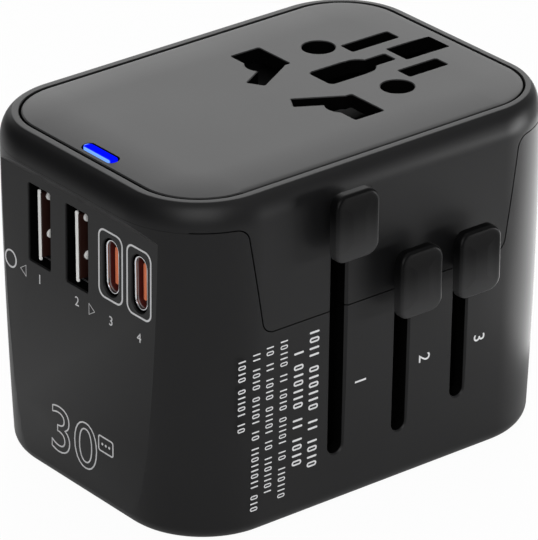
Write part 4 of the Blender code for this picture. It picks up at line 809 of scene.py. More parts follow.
pin_count = sum(len(names) for names in OPENINGS.values())
print("openings in the foot:", pin_count, "for pins and", len(SCREWS), "for screws")

# %% The casing's finish
def casing_finish():
    """Satin outside. The walls of slots and ports, found by their places, get painted shade: plain dark."""
    look = moulded("casing_satin_black", (0.0085, 0.0085, 0.0089), 0.40, 0.22)
    x, y, z = (look.coordinate(axis) for axis in range(3))
    drop = (SEAM_HEIGHT - z).larger(0.0) * (1.0 / SEAM_HEIGHT)
    # painted shade on the walls of the slider slots
    slot_painted_shade = (y - drop * drop * SIDE_FLARE > FRONT + 0.4 * MM) * (y < FRONT + 7.0 * MM)
    slot_painted_shade = slot_painted_shade * x.between(sliders[0].x - 2.5 * MM, sliders[-1].x + 2.5 * MM)
    slot_painted_shade = slot_painted_shade * z.between(5.0 * MM, max(s.slot_top for s in sliders) + 1.0 * MM)
    drop = (PANEL_FOOT - z) * (PANEL_LEAN / PANEL_FOOT)
    # painted shade on the walls of the ports
    port_painted_shade = (x + drop > PANEL_X + 0.35 * MM) * (x < PANEL_X + 5.0 * MM)
    port_painted_shade = port_painted_shade * y.between(min(c_ports) - 3.0 * MM, max(a_ports) + 3.5 * MM)
    port_painted_shade = port_painted_shade * z.between(PORT_Z - 7.0 * MM, PORT_Z + 7.0 * MM)
    return look.painted_shade_where(slot_painted_shade.larger(port_painted_shade))


finish["casing"] = casing_finish()
print("nodes in the casing's finish:", len(finish["casing"].tree.nodes))

# %% Carve the two halves
def slot_cutters():
    return together(*[flared_hole(slider.slot_outline, lambda z, x: front_y(z), 2 * WALL, "Y", -1)
                      for slider in sliders])


def screw_pillars():
    return together(*[prism(circle(3.3 * MM, (x, y)), FLOOR / 2, 9.0 * MM) for x, y, _ in SCREWS.values()])


housing = object_of("housing_moulding", with_rise(loft(skin_levels())))
carve(housing, "DIFFERENCE", above_seam(SEAM_GAP), seam_solid(SEAM_GAP))
carve(housing, "UNION", box(PANEL_X + FIT, PANEL_BACK, -PANEL_HALF, PANEL_HALF, PANEL_BASE, PANEL_FOOT))
carve(housing, "UNION", screw_pillars())
carve(housing, "DIFFERENCE", panel_cutter(), port_cutters(), slot_cutters())
carve(housing, "DIFFERENCE", floor_cutters(), screw_passages())
finished(housing, "casing", "casing_black", "lower_housing")

region = object_of("cap_region", seam_solid(0.0))
carve(region, "UNION", above_seam(0.0), over_ports())
cap_tool = bmesh.new()
cap_tool.from_mesh(region.data)
bpy.data.objects.remove(region)
cap = object_of("cap_moulding", with_rise(loft(skin_levels())))
carve(cap, "INTERSECT", cap_tool)
carve(cap, "DIFFERENCE", slot_cutters())
finished(cap, "casing", "casing_black", "upper_cap")
print("housing faces", len(housing.data.polygons), "cap faces", len(cap.data.polygons))

# %% [markdown]
# ## The face plate
# The plate is a separate moulding that drops into the cap. Its top swells: the outer part goes down towards the
# edge, most at the ports and least at the plain end, and the rim goes down with it, so the light falls off towards
# the edge. Concentric rings of the plate's own outline, each a little lower, give that swell exactly. A bend
# modifier would also have bent the holes.

# %% The plate's swell
SWELL, SWELL_WIDTH = mm(0.72, 8.0)


def plate_height(reach):
    """Height of the plate's top at that distance in from its edge."""
    return BODY_HEIGHT - SWELL * max(0.0, 1.0 - reach / SWELL_WIDTH) ** 2


def plate_steps():
    """How far out from the plate's edge each ring lies, and how high."""
    reaches = mm(0.3, 1.0, 1.8, 2.6, 3.4, 4.2, 5.0, 5.8, 6.6, 7.3, 8.0)
    sides = [(0.0, PLATE_BASE)] + steps_from(plate_height(0.0), (0.0, -0.3), (-0.09, -0.09))
    return sides + [(-reach, plate_height(reach)) for reach in reaches]


def with_even_edge(solid):
    """Lessens the swell towards the plain end, where the rim is higher."""
    for v in solid.verts:
        drop = BODY_HEIGHT - v.co.z
        if drop < SWELL + 0.4 * MM:
            v.co.z = BODY_HEIGHT - drop * (1.0 - rise(v.co.x) / SWELL)
    return solid


print("the plate's edge lies", round((BODY_HEIGHT - plate_height(0.0)) / MM, 2), "mm below its middle")

# %% Holes in the plate
def plate_hole(outline_at):
    return flared_hole(outline_at, lambda x, y: BODY_HEIGHT, 4.4 * MM, "Z", 1, 0.14 * MM)


def round_hole(radius, x, y):
    return plate_hole(even_circle(radius, (x, y)))


def rect_hole(x0, x1, y0, y1, corner=0.25):
    """A hole between those places, all in millimetres."""
    x0, x1, y0, y1, corner = mm(x0, x1, y0, y1, corner)
    return plate_hole(even_rect((x1 - x0) / 2, (y1 - y0) / 2, corner, 4, ((x0 + x1) / 2, (y0 + y1) / 2)))


def slanted_hole(side):
    flat = even_rect(*mm(4.1, 1.45, 0.25), 4)
    return plate_hole(lambda grow: turned(flat(grow), TWIST * side, mm(4.0, side * 6.5)))


print("the slanted holes are turned", round(math.degrees(TWIST)), "degrees")

# %% The plate with the universal socket
def plate_finish():
    """The casing's satin made paler, as painted light where the plate faces up. The walls of its holes get painted
    shade: plain dark.
    """
    # painted light: a paler black than the casing's, for the lit top
    look = satin("plate_satin_black", (0.0120, 0.0120, 0.0124), (0.0160, 0.0160, 0.0164), 0.39, 0.31)
    facing = look.node("ShaderNodeNewGeometry", output="Normal")
    # painted shade on every wall that doesn't face up
    return look.painted_shade_where(look.node("ShaderNodeSeparateXYZ", {}, {0: facing}, output=2) < 0.5)


plate = object_of("face_plate", with_even_edge(stack(plate_ring, plate_steps())))
plain, rounds, slants = [], [], []
for side, (near, far), half_slot in ((-1, (-15.1, -7.4), 3.75), (1, (7.4, 15.1), 4.55)):
    slot = rect_hole(24.3 - half_slot, 24.3 + half_slot, side * 6.35 - 1.45, side * 6.35 + 1.45)
    plain += [rect_hole(4.0, 9.4, near, far), slot, round_hole(2.6 * MM, SOCKET_X, side * 9.5 * MM)]
    rounds.append(round_hole(*mm(2.9, 6.1, side * 9.7)))
    slants.append(slanted_hole(side))
plain += [rect_hole(24.4, 32.9, -2.5, 2.5), rect_hole(9.3, 16.8, -2.8, 2.8, 0.8)]
rounds.append(round_hole(*mm(2.7, 16.8, 0.0)))
slants.append(rect_hole(16.8, 23.0, -1.325, 1.325))
LIGHT_X, LIGHT_Y = middle_of("led_bar", 0), middle_of("led_bar", 1)
light_outline = even_rect(*mm(0.8, 3.7, 0.8), 12, (LIGHT_X, LIGHT_Y))
slants.append(plate_hole(lambda grow: light_outline(FIT + grow)))
carve(plate, "DIFFERENCE", together(*plain), together(*rounds), together(*slants))
finish["plate"] = plate_finish()
finished(plate, "plate", "plate_black", "socket_plate")
print("plate faces", len(plate.data.polygons))

# %% [markdown]
# ## The status light
# A clear window carries blue light up from a lamp on a small board. On the real thing the middle is a full, even
# blue and its edge pales where the window is thin. A lamp in the scene would spill blue over the plate. An
# emission that turns paler towards one edge shows the same thing and stays inside the window.

# %% The light window
def light_finish():
    look = Look("light_blue_window", Roughness=0.6, Specular_IOR_Level=0.0, Emission_Strength=1.0)
    left = look.fade(look.coordinate(0), LIGHT_X - 0.66 * MM, LIGHT_X - 0.80 * MM)
    end = look.fade(look.coordinate(1), LIGHT_Y + 3.2 * MM, LIGHT_Y + 3.7 * MM)
    pale = (left * 0.85).larger(end * 0.9)
    return look.set(
        Base_Color=look.mix(pale, (0.001, 0.002, 0.20), (0.20, 0.35, 0.60)),
        Emission_Color=look.mix(pale, (0.0, 0.003, 0.95), (0.16, 0.40, 0.90)),
    )


finish["light"] = light_finish()
light_top = plate_height(3.4 * MM)
steps = [(0.8 * MM, LEDGE_BASE), (0.8 * MM, POCKET_FLOOR), (0.0, POCKET_FLOOR)]
steps += steps_from(light_top, (0.0, -0.15), (-0.05, -0.04), (-0.18, 0.0))
moulding("light_window", stack(light_outline, steps), "light", "light_blue", "led_bar")
print("light window top at", round(light_top / MM, 3), "mm")

# %% [markdown]
# ## The sliders' buttons
# Each button is one moulding: a cap that the thumb pushes, a neck through the slot and a foot behind the wall.
# The cap's face is bowed from top to bottom, so it shades from dark to pale, and painted shading makes its colour
# darker at the top and paler at the bottom. A flat face with all of that painted on would shade wrongly as soon as
# the light moved. So the face is a stack of outlines whose depth follows a shallow curve, with a rounded edge all
# round, and only part of the shading is painted.

# %% The shape of a button
BUTTON_SWELL, BUTTON_EDGE, BUTTON_HALF_Z, BUTTON_HALF_X, BUTTON_CORNER = mm(0.60, 0.5, 5.45, 4.0, 2.0)
CAP_CLEARANCE, CAP_DROP, FOOT_THICKNESS, HALF_FOOT_Z, HALF_FOOT_X = mm(2.4, 0.2, 1.6, 2.5, 2.7)


def button_levels(slider):
    """From the face through the rounded edge to the back of the cap, then the neck and the foot."""
    at = (slider.z - CAP_DROP, slider.x)
    back, foot_front = FRONT - CAP_CLEARANCE, slider.back - FOOT_THICKNESS

    def outline(inset):
        corner = max(BUTTON_CORNER - inset, 0.35 * MM)
        return rounded_rect(BUTTON_HALF_Z - inset, BUTTON_HALF_X - inset, corner, 10, at)

    def face(share):
        def bow(z):
            return BUTTON_SWELL * ((z - slider.z) / BUTTON_HALF_Z) ** 2
        return lambda z, x: slider.front + bow(z) + BUTTON_EDGE * share

    levels = [(outline(inset), face(0.0)) for inset in mm(2.9, 2.2, 1.4, 0.9)]
    levels += [(outline(BUTTON_EDGE * left), face(inward)) for left, inward in rounding(6)]
    levels += [(outline(0.0), back - 0.2 * MM), (outline(0.2 * MM), back)]
    half_neck = slider.slot_width / 2 - FIT
    neck = rounded_rect(HALF_FOOT_Z, half_neck, half_neck, 10, at)
    foot = rounded_rect(HALF_FOOT_Z, HALF_FOOT_X, FIT, 10, at)
    return levels + [(neck, back), (neck, foot_front), (foot, foot_front), (foot, slider.back)]


print("a button is", round(2 * BUTTON_HALF_X / MM, 1), "x", round(2 * BUTTON_HALF_Z / MM, 1), "mm")

# %% Make and finish the buttons
def button_finish(slider):
    """Satin black, with painted shading: darker at the top and paler over the lower half."""
    look = Look(f"{slider.key}_button_satin", Specular_IOR_Level=0.085)
    height = look.coordinate(2) + look.noise(220.0) * 1.2 * MM
    # painted shading: the colour runs from dark at the top to pale at the bottom, and the gloss with it
    painted_shading = look.fade(height, slider.z + 3.5 * MM, slider.z - 5.0 * MM)
    speck = look.noise(2600.0)
    return look.set(
        Base_Color=look.mix(painted_shading, (0.0025, 0.0025, 0.0026), (0.0340, 0.0340, 0.0346)),
        Roughness=0.34 - painted_shading * 0.05 + speck * 0.03,
        Normal=look.bump(look.grain(speck), 0.22, 0.010 * MM),
    )


for slider in sliders:
    finish[slider.button] = button_finish(slider)
    wears = slider.button, "button_black", slider.button, slider.button
    moulding(f"{slider.key}_slider_cap", loft(button_levels(slider), "Y"), *wears)
print("buttons made:", len(sliders))

# %% [markdown]
# ## Springs
# A coil spring gets shorter when its button is pressed, and the one behind the shutter gets longer when the
# shutter opens. A spring that rode on one body would run into the button, or be left behind by the shutter. Here
# each one is a smoothed copy of the CAD spring, in its place, and where its two ends lie is worked out but not
# used.

# %% Springs
def held_by_ends(name, node, moving, axis, moving_side):
    """The CAD spring's shape, smoothed, in the CAD spring's place. Where its ends lie is worked out but not used,
    and moving is not used.
    """
    coil = bpy.data.objects.new(name, cad_node[node].data.copy())
    bpy.context.scene.collection.objects.link(coil)
    coil.data.shade_smooth()
    wear(coil, finish["spring"])
    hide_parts(node)
    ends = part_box(node)
    middle = (ends[0] + ends[1]) / 2
    start, end = middle.copy(), middle.copy()
    start[axis], end[axis] = ends[1 - moving_side][axis], ends[moving_side][axis]
    tuple(start)
    tuple(end)
    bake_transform(coil)


for slider in sliders:
    key = slider.key
    held_by_ends(f"{key}_coil", f"{key}_button_spring", slider.button, 1, 0)
held_by_ends("shutter_coil", "shutter_spring", "shutter", 0, 1)
print("springs held by their ends:", len(sliders) + 1)

# %% [markdown]
# ## The charging ports
# Two wide and two narrow ports sit in a flat panel. Inside each is a metal shell with a plastic tongue that
# carries the contacts. What shows from outside is the front edge of the tongue, the lip of the narrow shells
# and the sprung contacts. So these are modelled in full, and the shells' depth is only coloured: steel at the
# lip, and painted shade further in, where little light goes. In the wide ports the tongue's front edge and the
# contacts are white, as painted highlights, and the tongue is darkened as painted shade.

# %% Port finishes
def lined_shell(name, lip_x, painted_shade_colour):
    """Polished steel at the lip that turns to painted shade further in."""
    look = Look(name)
    inside = look.fade(look.coordinate(0), lip_x + 0.25 * MM, lip_x + 0.6 * MM, "LINEAR")
    lines = look.noise(1200.0, 2.0, (1.0, 1.0, 0.1))
    return look.set(
        Base_Color=look.mix(inside, (0.80, 0.80, 0.82), painted_shade_colour),
        Metallic=1.0 - inside,
        Roughness=0.18 + inside * 0.30 + lines * 0.08,
        Normal=look.bump(lines, 0.1, 0.005 * MM),
    )


shell_a_front, shell_c_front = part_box("usb_a_shell_1")[0].x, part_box("usb_c_shell_1")[0].x
# painted shade inside the shells: near black in the wide ports, dark red in the narrow ones
finish["a_shell"] = lined_shell("wide_port_shell", shell_a_front - 0.5 * MM, (0.012, 0.010, 0.010))
finish["c_shell"] = lined_shell("narrow_port_shell", shell_c_front, (0.070, 0.006, 0.004))
# painted shade: the wide tongues are an orange darkened to red-brown
finish["wide_tongue"] = moulded("wide_tongue_painted_shade", (0.020, 0.006, 0.004), 0.42, 0.25, 0.2)
# painted highlight: a white for the bright front edge of the wide tongues and for their metal contacts
finish["tongue_nose"] = moulded("tongue_nose_white", (0.90, 0.90, 0.88), 0.35, 0.5, 0.1)
for number in (1, 2):
    wear(cad_node[f"usb_a_shell_{number}"], finish["a_shell"])
print("port fronts at x", round(shell_a_front / MM, 2), "and", round(shell_c_front / MM, 2), "mm")

# %% Tongues and contacts of the wide ports
NOSE = PANEL_X + 0.35 * MM
for number in (1, 2):
    name = f"usb_a_tongue_{number}"
    low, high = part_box(name)
    middle, half_y, half_z = (middle_of(name, 1), PORT_Z), half_of(name, 1), half_of(name, 2)

    def section(inset):
        return rounded_rect(half_y - inset, half_z - inset / 2, 0.25 * MM, 6, middle)

    steps = steps_from(NOSE, (0.50, 0.1), (0.42, 0.3), (0.32, 1.4)) + [(0.0, low.x), (0.0, high.x)]
    moulding(f"wide_tongue_{number}", stack(section, steps, "X"), "wide_tongue", "tongue_dark", name)
    small, full = (rounded_rect(*mm(*size), 6, middle) for size in ((0.20, 5.72, 0.12), (0.27, 5.80, 0.18)))
    nose = loft([(small, NOSE - 0.10 * MM), (full, NOSE), (full, NOSE + 0.2 * MM)], "X")
    # the nose is white as a painted highlight along the tongue's front edge
    moulding(f"wide_tongue_nose_{number}", nose, "tongue_nose", "lamp_white")
    face = middle[0] - half_y + 0.3 * MM
    dome = steps_from(face, (0.72, 0.3), (0.72, -0.15), (0.60, -0.32), (0.30, -0.40))
    domes = [lathe((PORT_Z + up * MM, PANEL_X + 1.9 * MM), dome, "Y", 28) for up in (4.65, -1.55)]
    # the domes stand for the shell's metal spring tabs, white as painted highlights
    moulding(f"wide_contacts_{number}", together(*domes), "tongue_nose", "contact_brass")
print("wide ports dressed:", len(a_ports))

# %% Shells and tongues of the narrow ports
for number, y in enumerate(c_ports, start=1):
    name = f"usb_c_shell_{number}"
    low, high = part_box(name)
    half_y = half_of(name, 1)
    inner = steps_from(high.x, (-0.3, -0.3))
    lip = steps_from(low.x, (-0.3, 0.1), (-0.2, 0.0), (-0.1, 0.0), (0.0, 0.1))
    section = even_rect(half_y, half_of(name, 2), half_y, 14, (y, PORT_Z))
    shell = stack(section, inner + lip + [(0.0, high.x)], "X")
    moulding(f"narrow_shell_{number}", shell, "c_shell", "port_steel", name)
    name = f"usb_c_tongue_{number}"
    low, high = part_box(name)
    half_y, half_z = half_of(name, 1) - 0.08 * MM, half_of(name, 2) - 0.35 * MM

    def section(inset):
        return rounded_rect(half_y - inset, half_z - inset, 0.28 * MM - inset / 2, 8, (y, PORT_Z))

    steps = steps_from(low.x, (0.10, -0.38), (0.0, -0.28)) + [(0.0, high.x)]
    moulding(f"narrow_tongue_{number}", stack(section, steps, "X"), "orange", "tongue_orange", name)
    heights = [PORT_Z + (k - 2.5) * 1.05 * MM for k in range(6)]
    pads = [box(low.x + 0.75 * MM, low.x + 2.6 * MM, y - half_y - 0.04 * MM, y - half_y + 0.1 * MM,
                z - 0.28 * MM, z + 0.28 * MM) for z in heights]
    moulding(f"narrow_contacts_{number}", together(*pads), "leaf", "contact_brass")
print("narrow ports dressed:", len(c_ports))

# %% [markdown]
# ## The pins
# Round pins are nickel plated, flat pins are bare brass, and the British earth pin is plain plastic, because
# nothing is joined to it. Live pins have a dark sleeve where they meet the plug, so that a finger can't touch
# live metal half way in. The sleeve is flush with the metal, so it is a change of finish along the pin and not
# another solid: a mask on the height in the pin's own space, which goes with the pin as it moves.

# %% Pin finishes
def sleeved(name, colour, roughness, sleeve_from):
    """Drawn metal with a plastic sleeve above a height."""
    look = Look(name)
    sleeve = look.coordinate(2) > sleeve_from
    lines = look.noise(900.0, 3.0, UPRIGHT)
    metal = look.mix(look.noise(160.0), times(colour, 0.78), colour)
    return look.set(
        Base_Color=look.mix(sleeve, metal, (0.014, 0.014, 0.015)),
        Metallic=1.0 - sleeve,
        Roughness=roughness + lines * 0.08 + sleeve * 0.16,
        Normal=look.bump(lines * (1.0 - sleeve * 0.7), 0.2, 0.008 * MM),
    )


finish["earth"] = moulded("earth_pin_black", (0.016, 0.016, 0.017), 0.40, 0.4, 0.3)
print("finishes so far:", len(finish))

# %% How a pin is made
PIN_TIP, PEG = mm(0.98, 1.0)  # how far a tip is rounded, and how much thinner a peg is
EU_SLEEVE, UK_SLEEVE = mm(9.0, 8.6)
HOLE_SHARP_FROM = math.radians(32.0)  # keeps the hole in a blade smooth inside


def make_pin(name, look_name, slot, shoulder=None):
    """A pin with a rounded tip. Above the shoulder, where it has one, it is a thinner peg."""
    low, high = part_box(name)
    x, y, half_u, half_v = pin_box(name)
    corner = min(0.45 * MM, half_v * 0.5, half_u * 0.5)

    def outline_at(inset):
        if look_name == "eu_pin":
            return circle(half_u - inset, (x, y), 40)
        across, along = min(inset, half_u * 0.62), min(inset, half_v * 0.62)
        rounder = corner * (1 - 0.4 * min(inset / MM, 1.0))
        return rounded_rect(half_u - across, half_v - along, rounder, 6, (x, y))

    steps = [(PIN_TIP * left, low.z + PIN_TIP * up) for left, up in rounding(5)]
    steps += [(0.0, shoulder), (PEG, shoulder), (PEG, high.z)] if shoulder else [(0.0, high.z)]
    body = name if name.endswith("blade") else f"{name[:2]}_module"
    return moulding(f"{name}_drawn", stack(outline_at, steps), look_name, slot, name, body)


print("a pin's tip is", round(PIN_TIP / MM, 2), "mm long")

# %% Make the pins
eu_shoulder, uk_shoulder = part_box("eu_carriage")[0].z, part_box("uk_carriage")[0].z
finish["eu_pin"] = sleeved("pin_nickel_sleeved", NICKEL, 0.20, eu_shoulder - EU_SLEEVE)
finish["uk_pin"] = sleeved("pin_brass_sleeved", BRASS, 0.22, uk_shoulder - UK_SLEEVE)
for pole in ("line", "neutral"):
    make_pin(f"eu_{pole}_pin", "eu_pin", "pin_nickel")
    make_pin(f"uk_{pole}_pin", "uk_pin", "pin_brass", uk_shoulder - FIT)
make_pin("uk_earth_pin", "earth", "earth_plastic", uk_shoulder - FIT)
for name in ("us_line_blade", "us_neutral_blade"):
    blade = make_pin(name, "brass", "pin_brass")
    x, y, _, half_v = pin_box(name)
    steps = steps_from(y - half_v, (1.9, -0.15), (1.55, 0.2))
    steps += steps_from(y + half_v, (1.55, -0.2), (1.9, 0.15))
    carve(blade, "DIFFERENCE", lathe((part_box(name)[0].z + 3.4 * MM, x), steps, "Y", 32))
    blade.data.set_sharp_from_angle(angle=HOLE_SHARP_FROM)
print("sleeves reach", round(EU_SLEEVE / MM, 1), "and", round(UK_SLEEVE / MM, 1), "mm below the carriages")

# %% [markdown]
# ## The screws in the foot
# Four screws hold the housing to the frame inside. Their heads sit deep in the foot, so only a domed head with
# a cross recess shows. The recess is cut with two crossed wedges, as the driver would press it.

# %% Screws
for number, (name, (x, y, head)) in enumerate(SCREWS.items(), start=1):
    low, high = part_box(name)
    shank, head_top, turn = 1.1 * MM, low.z + 1.8 * MM, math.radians(20.0 + 35.0 * number)
    dome = ((1.3, 0.0), (0.6, 0.12), (0.15, 0.4), (0.0, 0.7))
    steps = [(head - inset * MM, low.z + up * MM) for inset, up in dome]
    steps += [(head, head_top), (shank, head_top), (shank, high.z - shank), (shank / 3, high.z)]
    screw = object_of(f"{name}_crosshead", lathe((x, y), steps))
    for angle in (turn, turn + math.pi / 2):
        def wing(half):
            thick = 0.32 * MM
            return turned([(-half, -thick), (half, -thick), (half, thick), (-half, thick)], angle, (x, y))

        carve(screw, "DIFFERENCE", stack(wing, steps_from(low.z, (1.4, -0.2), (0.5, 1.1))))
    finished(screw, "screw", "spring_steel", name)
print("screws made:", len(SCREWS))

# %% [markdown]
# ## Printed marks
# The casing carries pale pad-printed marks. Here they are plain numbers that tell the sliders and ports apart,
# a ring round each narrow port, and rows of plain ticks and rings where small print would be. An image texture
# would need a picture file. So each mark is drawn flat, then given a thickness of ink that follows the wall.

# %% Ink, and the walls that it is laid on
INK, SUNK = mm(0.03, 0.05)


def printed_finish():
    look = Look("print_pale_grey", Specular_IOR_Level=0.35)
    speck, worn = look.noise(5200.0), look.noise(420.0, 3.0)
    return look.set(
        Base_Color=look.mix(speck * 0.5 + worn * 0.5, (0.58, 0.58, 0.59), (0.78, 0.78, 0.79)),
        Roughness=0.46 + speck * 0.10,
        Normal=look.bump(speck, 0.2, 0.006 * MM),
    )


finish["print"] = printed_finish()
print("ink stands", round(INK / MM, 2), "mm over the wall")


def on_front(x, z, lift):
    """A point on the slider wall."""
    return (x, front_y(z) - lift, z)


def on_panel(y, z, lift):
    """A point on the port panel."""
    return (panel_x(z) - lift, y, z)


# %% Flat marks
class Print:
    """Flat marks that become one thin closed piece."""

    def __init__(self):
        self.flat = bmesh.new()

    def corners(self, outline):
        return [self.flat.verts.new((u, v, 0.0)) for u, v in outline]

    def area(self, outline):
        self.flat.faces.new(self.corners(outline))

    def ring(self, outer, inner):
        outside, inside = self.corners(outer), self.corners(inner)
        for k in range(len(outer)):
            after = (k + 1) % len(outer)
            self.flat.faces.new((outside[k], outside[after], inside[after], inside[k]))

    def frame(self, half_u, half_v, radius, line, middle, steps=8):
        inner = rounded_rect(half_u - line, half_v - line, max(radius - line, 0.02 * MM), steps, middle)
        self.ring(rounded_rect(half_u, half_v, radius, steps, middle), inner)

    def outlined(self, loop, line):
        """A line of even width along a closed loop."""
        points = [Vector(p) for p in loop]
        outer, inner = [], []
        for k, at in enumerate(points):
            before, after = points[k - 1], points[(k + 1) % len(points)]
            ahead = ((at - before).normalized() + (after - at).normalized()).normalized()
            side = Vector((ahead.y, -ahead.x)) * line / 2
            outer.append(tuple(at + side))
            inner.append(tuple(at - side))
        self.ring(outer, inner)

    def laid(self, name, place):
        """The ink as a closed piece on the wall."""
        solid = bmesh.new()
        above, below = ({v: solid.verts.new(place(v.co.x, v.co.y, lift)) for v in self.flat.verts}
                        for lift in (INK, -SUNK))
        for face in self.flat.faces:
            solid.faces.new([above[v] for v in face.verts])
        for face in self.flat.faces:
            solid.faces.new([below[v] for v in reversed(face.verts)])
        for edge in self.flat.edges:
            if len(edge.link_faces) == 1:
                a, b = edge.verts
                solid.faces.new((above[a], above[b], below[b], below[a]))
        bmesh.ops.recalc_face_normals(solid, faces=solid.faces)
        self.flat.free()
        made = object_of(name, solid)
        made.data.shade_flat()
        wear(made, finish["print"])
        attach(made, "casing")


print("marks sink", round(SUNK / MM, 2), "mm into the wall")

# %% Numbers
def digit_mesh(text, height):
    """The flat mesh of a number in Blender's own font, its middle at the origin."""
    curve = bpy.data.curves.new("digits", "FONT")
    curve.body, curve.align_x, curve.align_y = text, "CENTER", "CENTER"
    curve.resolution_u = 6
    holder = bpy.data.objects.new("digits", curve)
    bpy.context.scene.collection.objects.link(holder)
    mesh = evaluated_mesh(holder)
    bpy.data.objects.remove(holder)
    bpy.data.curves.remove(curve)
    flat = bmesh.new()
    flat.from_mesh(mesh)
    bpy.data.meshes.remove(mesh)
    bmesh.ops.remove_doubles(flat, verts=flat.verts, dist=1e-5)
    across, along = [v.co.x for v in flat.verts], [v.co.y for v in flat.verts]
    low, high = (Vector((end(across), end(along), 0.0)) for end in (min, max))
    bmesh.ops.translate(flat, verts=flat.verts, vec=-(low + high) / 2)
    bmesh.ops.scale(flat, verts=flat.verts, vec=Vector((1, 1, 1)) * height / (high.y - low.y))
    return flat


def add_digits(ink, text, height, middle, place):
    """place(u, v) turns or mirrors the number before it is moved to its middle."""
    flat = digit_mesh(text, height)
    copies = {}
    for v in flat.verts:
        u, w = place(v.co.x, v.co.y)
        copies[v] = ink.flat.verts.new((middle[0] + u, middle[1] + w, 0.0))
    for face in flat.faces:
        ink.flat.faces.new([copies[v] for v in face.verts])
    flat.free()


sample = digit_mesh("4", 2.1 * MM)
print("a number of 2.1 mm is", round(max(v.co.x for v in sample.verts) * 2 / MM, 2), "mm wide")


# %% The outline of a number
def outline_loops(flat):
    """The closed border loops of a flat mesh, each as a list of (u, v)."""
    border = [edge for edge in flat.edges if len(edge.link_faces) == 1]
    loops = []
    while border:
        first = border.pop()
        start, at = first.verts
        loop = [start, at]
        while at != start:
            edge = next(e for e in at.link_edges if e in border)
            border.remove(edge)
            at = edge.other_vert(at)
            if at != start:
                loop.append(at)
        loops.append([(v.co.x, v.co.y) for v in loop])
    return loops


print("borders of that number:", len(outline_loops(sample)))
sample.free()

# %% Marks on the slider wall
slider_marks, small_print = Print(), Print()
for text, x in (("1", -4.5), ("2", 7.9), ("3", 18.7)):
    add_digits(slider_marks, text, 2.1 * MM, mm(x, 20.0), lambda u, v: (v, -u))
slider_marks.laid("slider_numbers", on_front)
print("numbers printed:", len(sliders))

ROWS = [(-13.5, 31.0, 6.1, 1.80, 0.33), (-16.4, 28.4, 7.3, 1.80, 0.33), (-19.2, 31.2, 3.8, 1.35, 0.21),
        (-21.8, 31.0, 5.4, 1.35, 0.21), (-24.3, 30.6, 3.8, 1.35, 0.21), (-27.0, 30.2, 18.0, 1.35, 0.21)]
PATTERN = "1o11 o1o11o 11 1o1o o11o1 1o 11o1"
for row, (x, top, foot, tall, line) in enumerate(ROWS):
    z, k, pitch = top, 3 * row, 0.62 * tall
    while z - pitch > foot:
        mark = PATTERN[k % len(PATTERN)]
        if mark == "1":
            small_print.area(rounded_rect(*mm(tall / 2, line / 2, line * 0.45), 3, mm(x, z)))
        elif mark == "o":
            ring = mm(tall / 2, 0.24 * tall, 0.22 * tall, 0.8 * line)
            small_print.frame(*ring, mm(x, z - 0.08 * tall), 5)
            z -= 0.22 * tall
        z, k = z - pitch, k + 1
small_print.laid("small_ticks", on_front)
print("rows of ticks:", len(ROWS))

# %% Marks on the port panel
panel_marks = Print()
for y in c_ports:
    panel_marks.frame(*mm(3.0, 5.6, 1.5, 0.30), (y, PORT_Z + 0.15 * MM), 10)
for y, text in zip(a_ports + c_ports, "1234"):
    add_digits(panel_marks, text, 1.5 * MM, (y, 32.3 * MM), lambda u, v: (-u, v))
for y, z, way in ((13.9, 32.4, 1), (-3.2, 32.2, -1)):
    tip, base = y + way * 0.8, y - way * 0.6
    panel_marks.outlined([mm(tip, z), mm(base, z - 0.9), mm(base, z + 0.9)][::way], 0.16 * MM)
panel_marks.frame(*mm(1.5, 1.5, 1.49, 0.28), mm(17.2, 33.0), 8)
big = digit_mesh("30", 7.6 * MM)
for loop in outline_loops(big):
    panel_marks.outlined([(-u * 1.15 + 1.4 * MM, w + 9.0 * MM) for u, w in loop], 0.24 * MM)
big.free()
panel_marks.frame(*mm(1.9, 1.35, 0.5, 0.24), mm(-6.6, 11.0), 6)
for shift in (-0.85, 0.0, 0.85):
    panel_marks.area(circle(0.22 * MM, mm(-6.6 + shift, 11.0), 12))
panel_marks.laid("port_marks", on_panel)
print("marks printed for", len(a_ports + c_ports), "ports")

# %% [markdown]
# ## Floor, room and lamps
# The product stands on white paper in a studio. Black plastic shows little of its own colour. What it shows is
# the room in its sheen, so the room is as much a light as the lamps are: bright behind and to the right, dim
# along the horizon, and dark to the back left, which draws the dark band under the rim. Black cards round the
# set would do the same as that gradient, but they would stand in the way of every other view.

# %% The paper floor
def floor_finish():
    """Near the object the paper is its own white to the camera and in reflections, and a share of it is lit.
    From below it isn't there, so that the foot and the pins can be looked at."""
    look = Look("studio_floor", Roughness=0.6, Specular_IOR_Level=0.3)
    paper = look.mix(look.noise(6.0), (0.84, 0.84, 0.84), (0.88, 0.88, 0.88))
    kinds = ("Camera", "Glossy", "Transmission")
    camera_ray, glossy_ray, clear_ray = (
        look.node("ShaderNodeLightPath", output=f"Is {kind} Ray") for kind in kinds)
    across, deep = look.coordinate(0), look.coordinate(1)
    away = look.node("ShaderNodeMath", {"operation": "SQRT"}, {0: across * across + deep * deep})
    near = look.fade(away, PAPER_END, PAPER_START)
    look.set(Base_Color=look.mix(near, (0.42, 0.42, 0.42), paper))
    own_white = camera_ray.larger(glossy_ray * near * PAPER_SHEEN).larger(clear_ray) * PAPER_WHITE
    white = look.node("ShaderNodeEmission", {}, {"Color": (1.0, 1.0, 1.0), "Strength": 1.0})
    under = look.node("ShaderNodeNewGeometry", output="Backfacing")
    return look.covered((own_white, white), (under, look.node("ShaderNodeBsdfTransparent")))


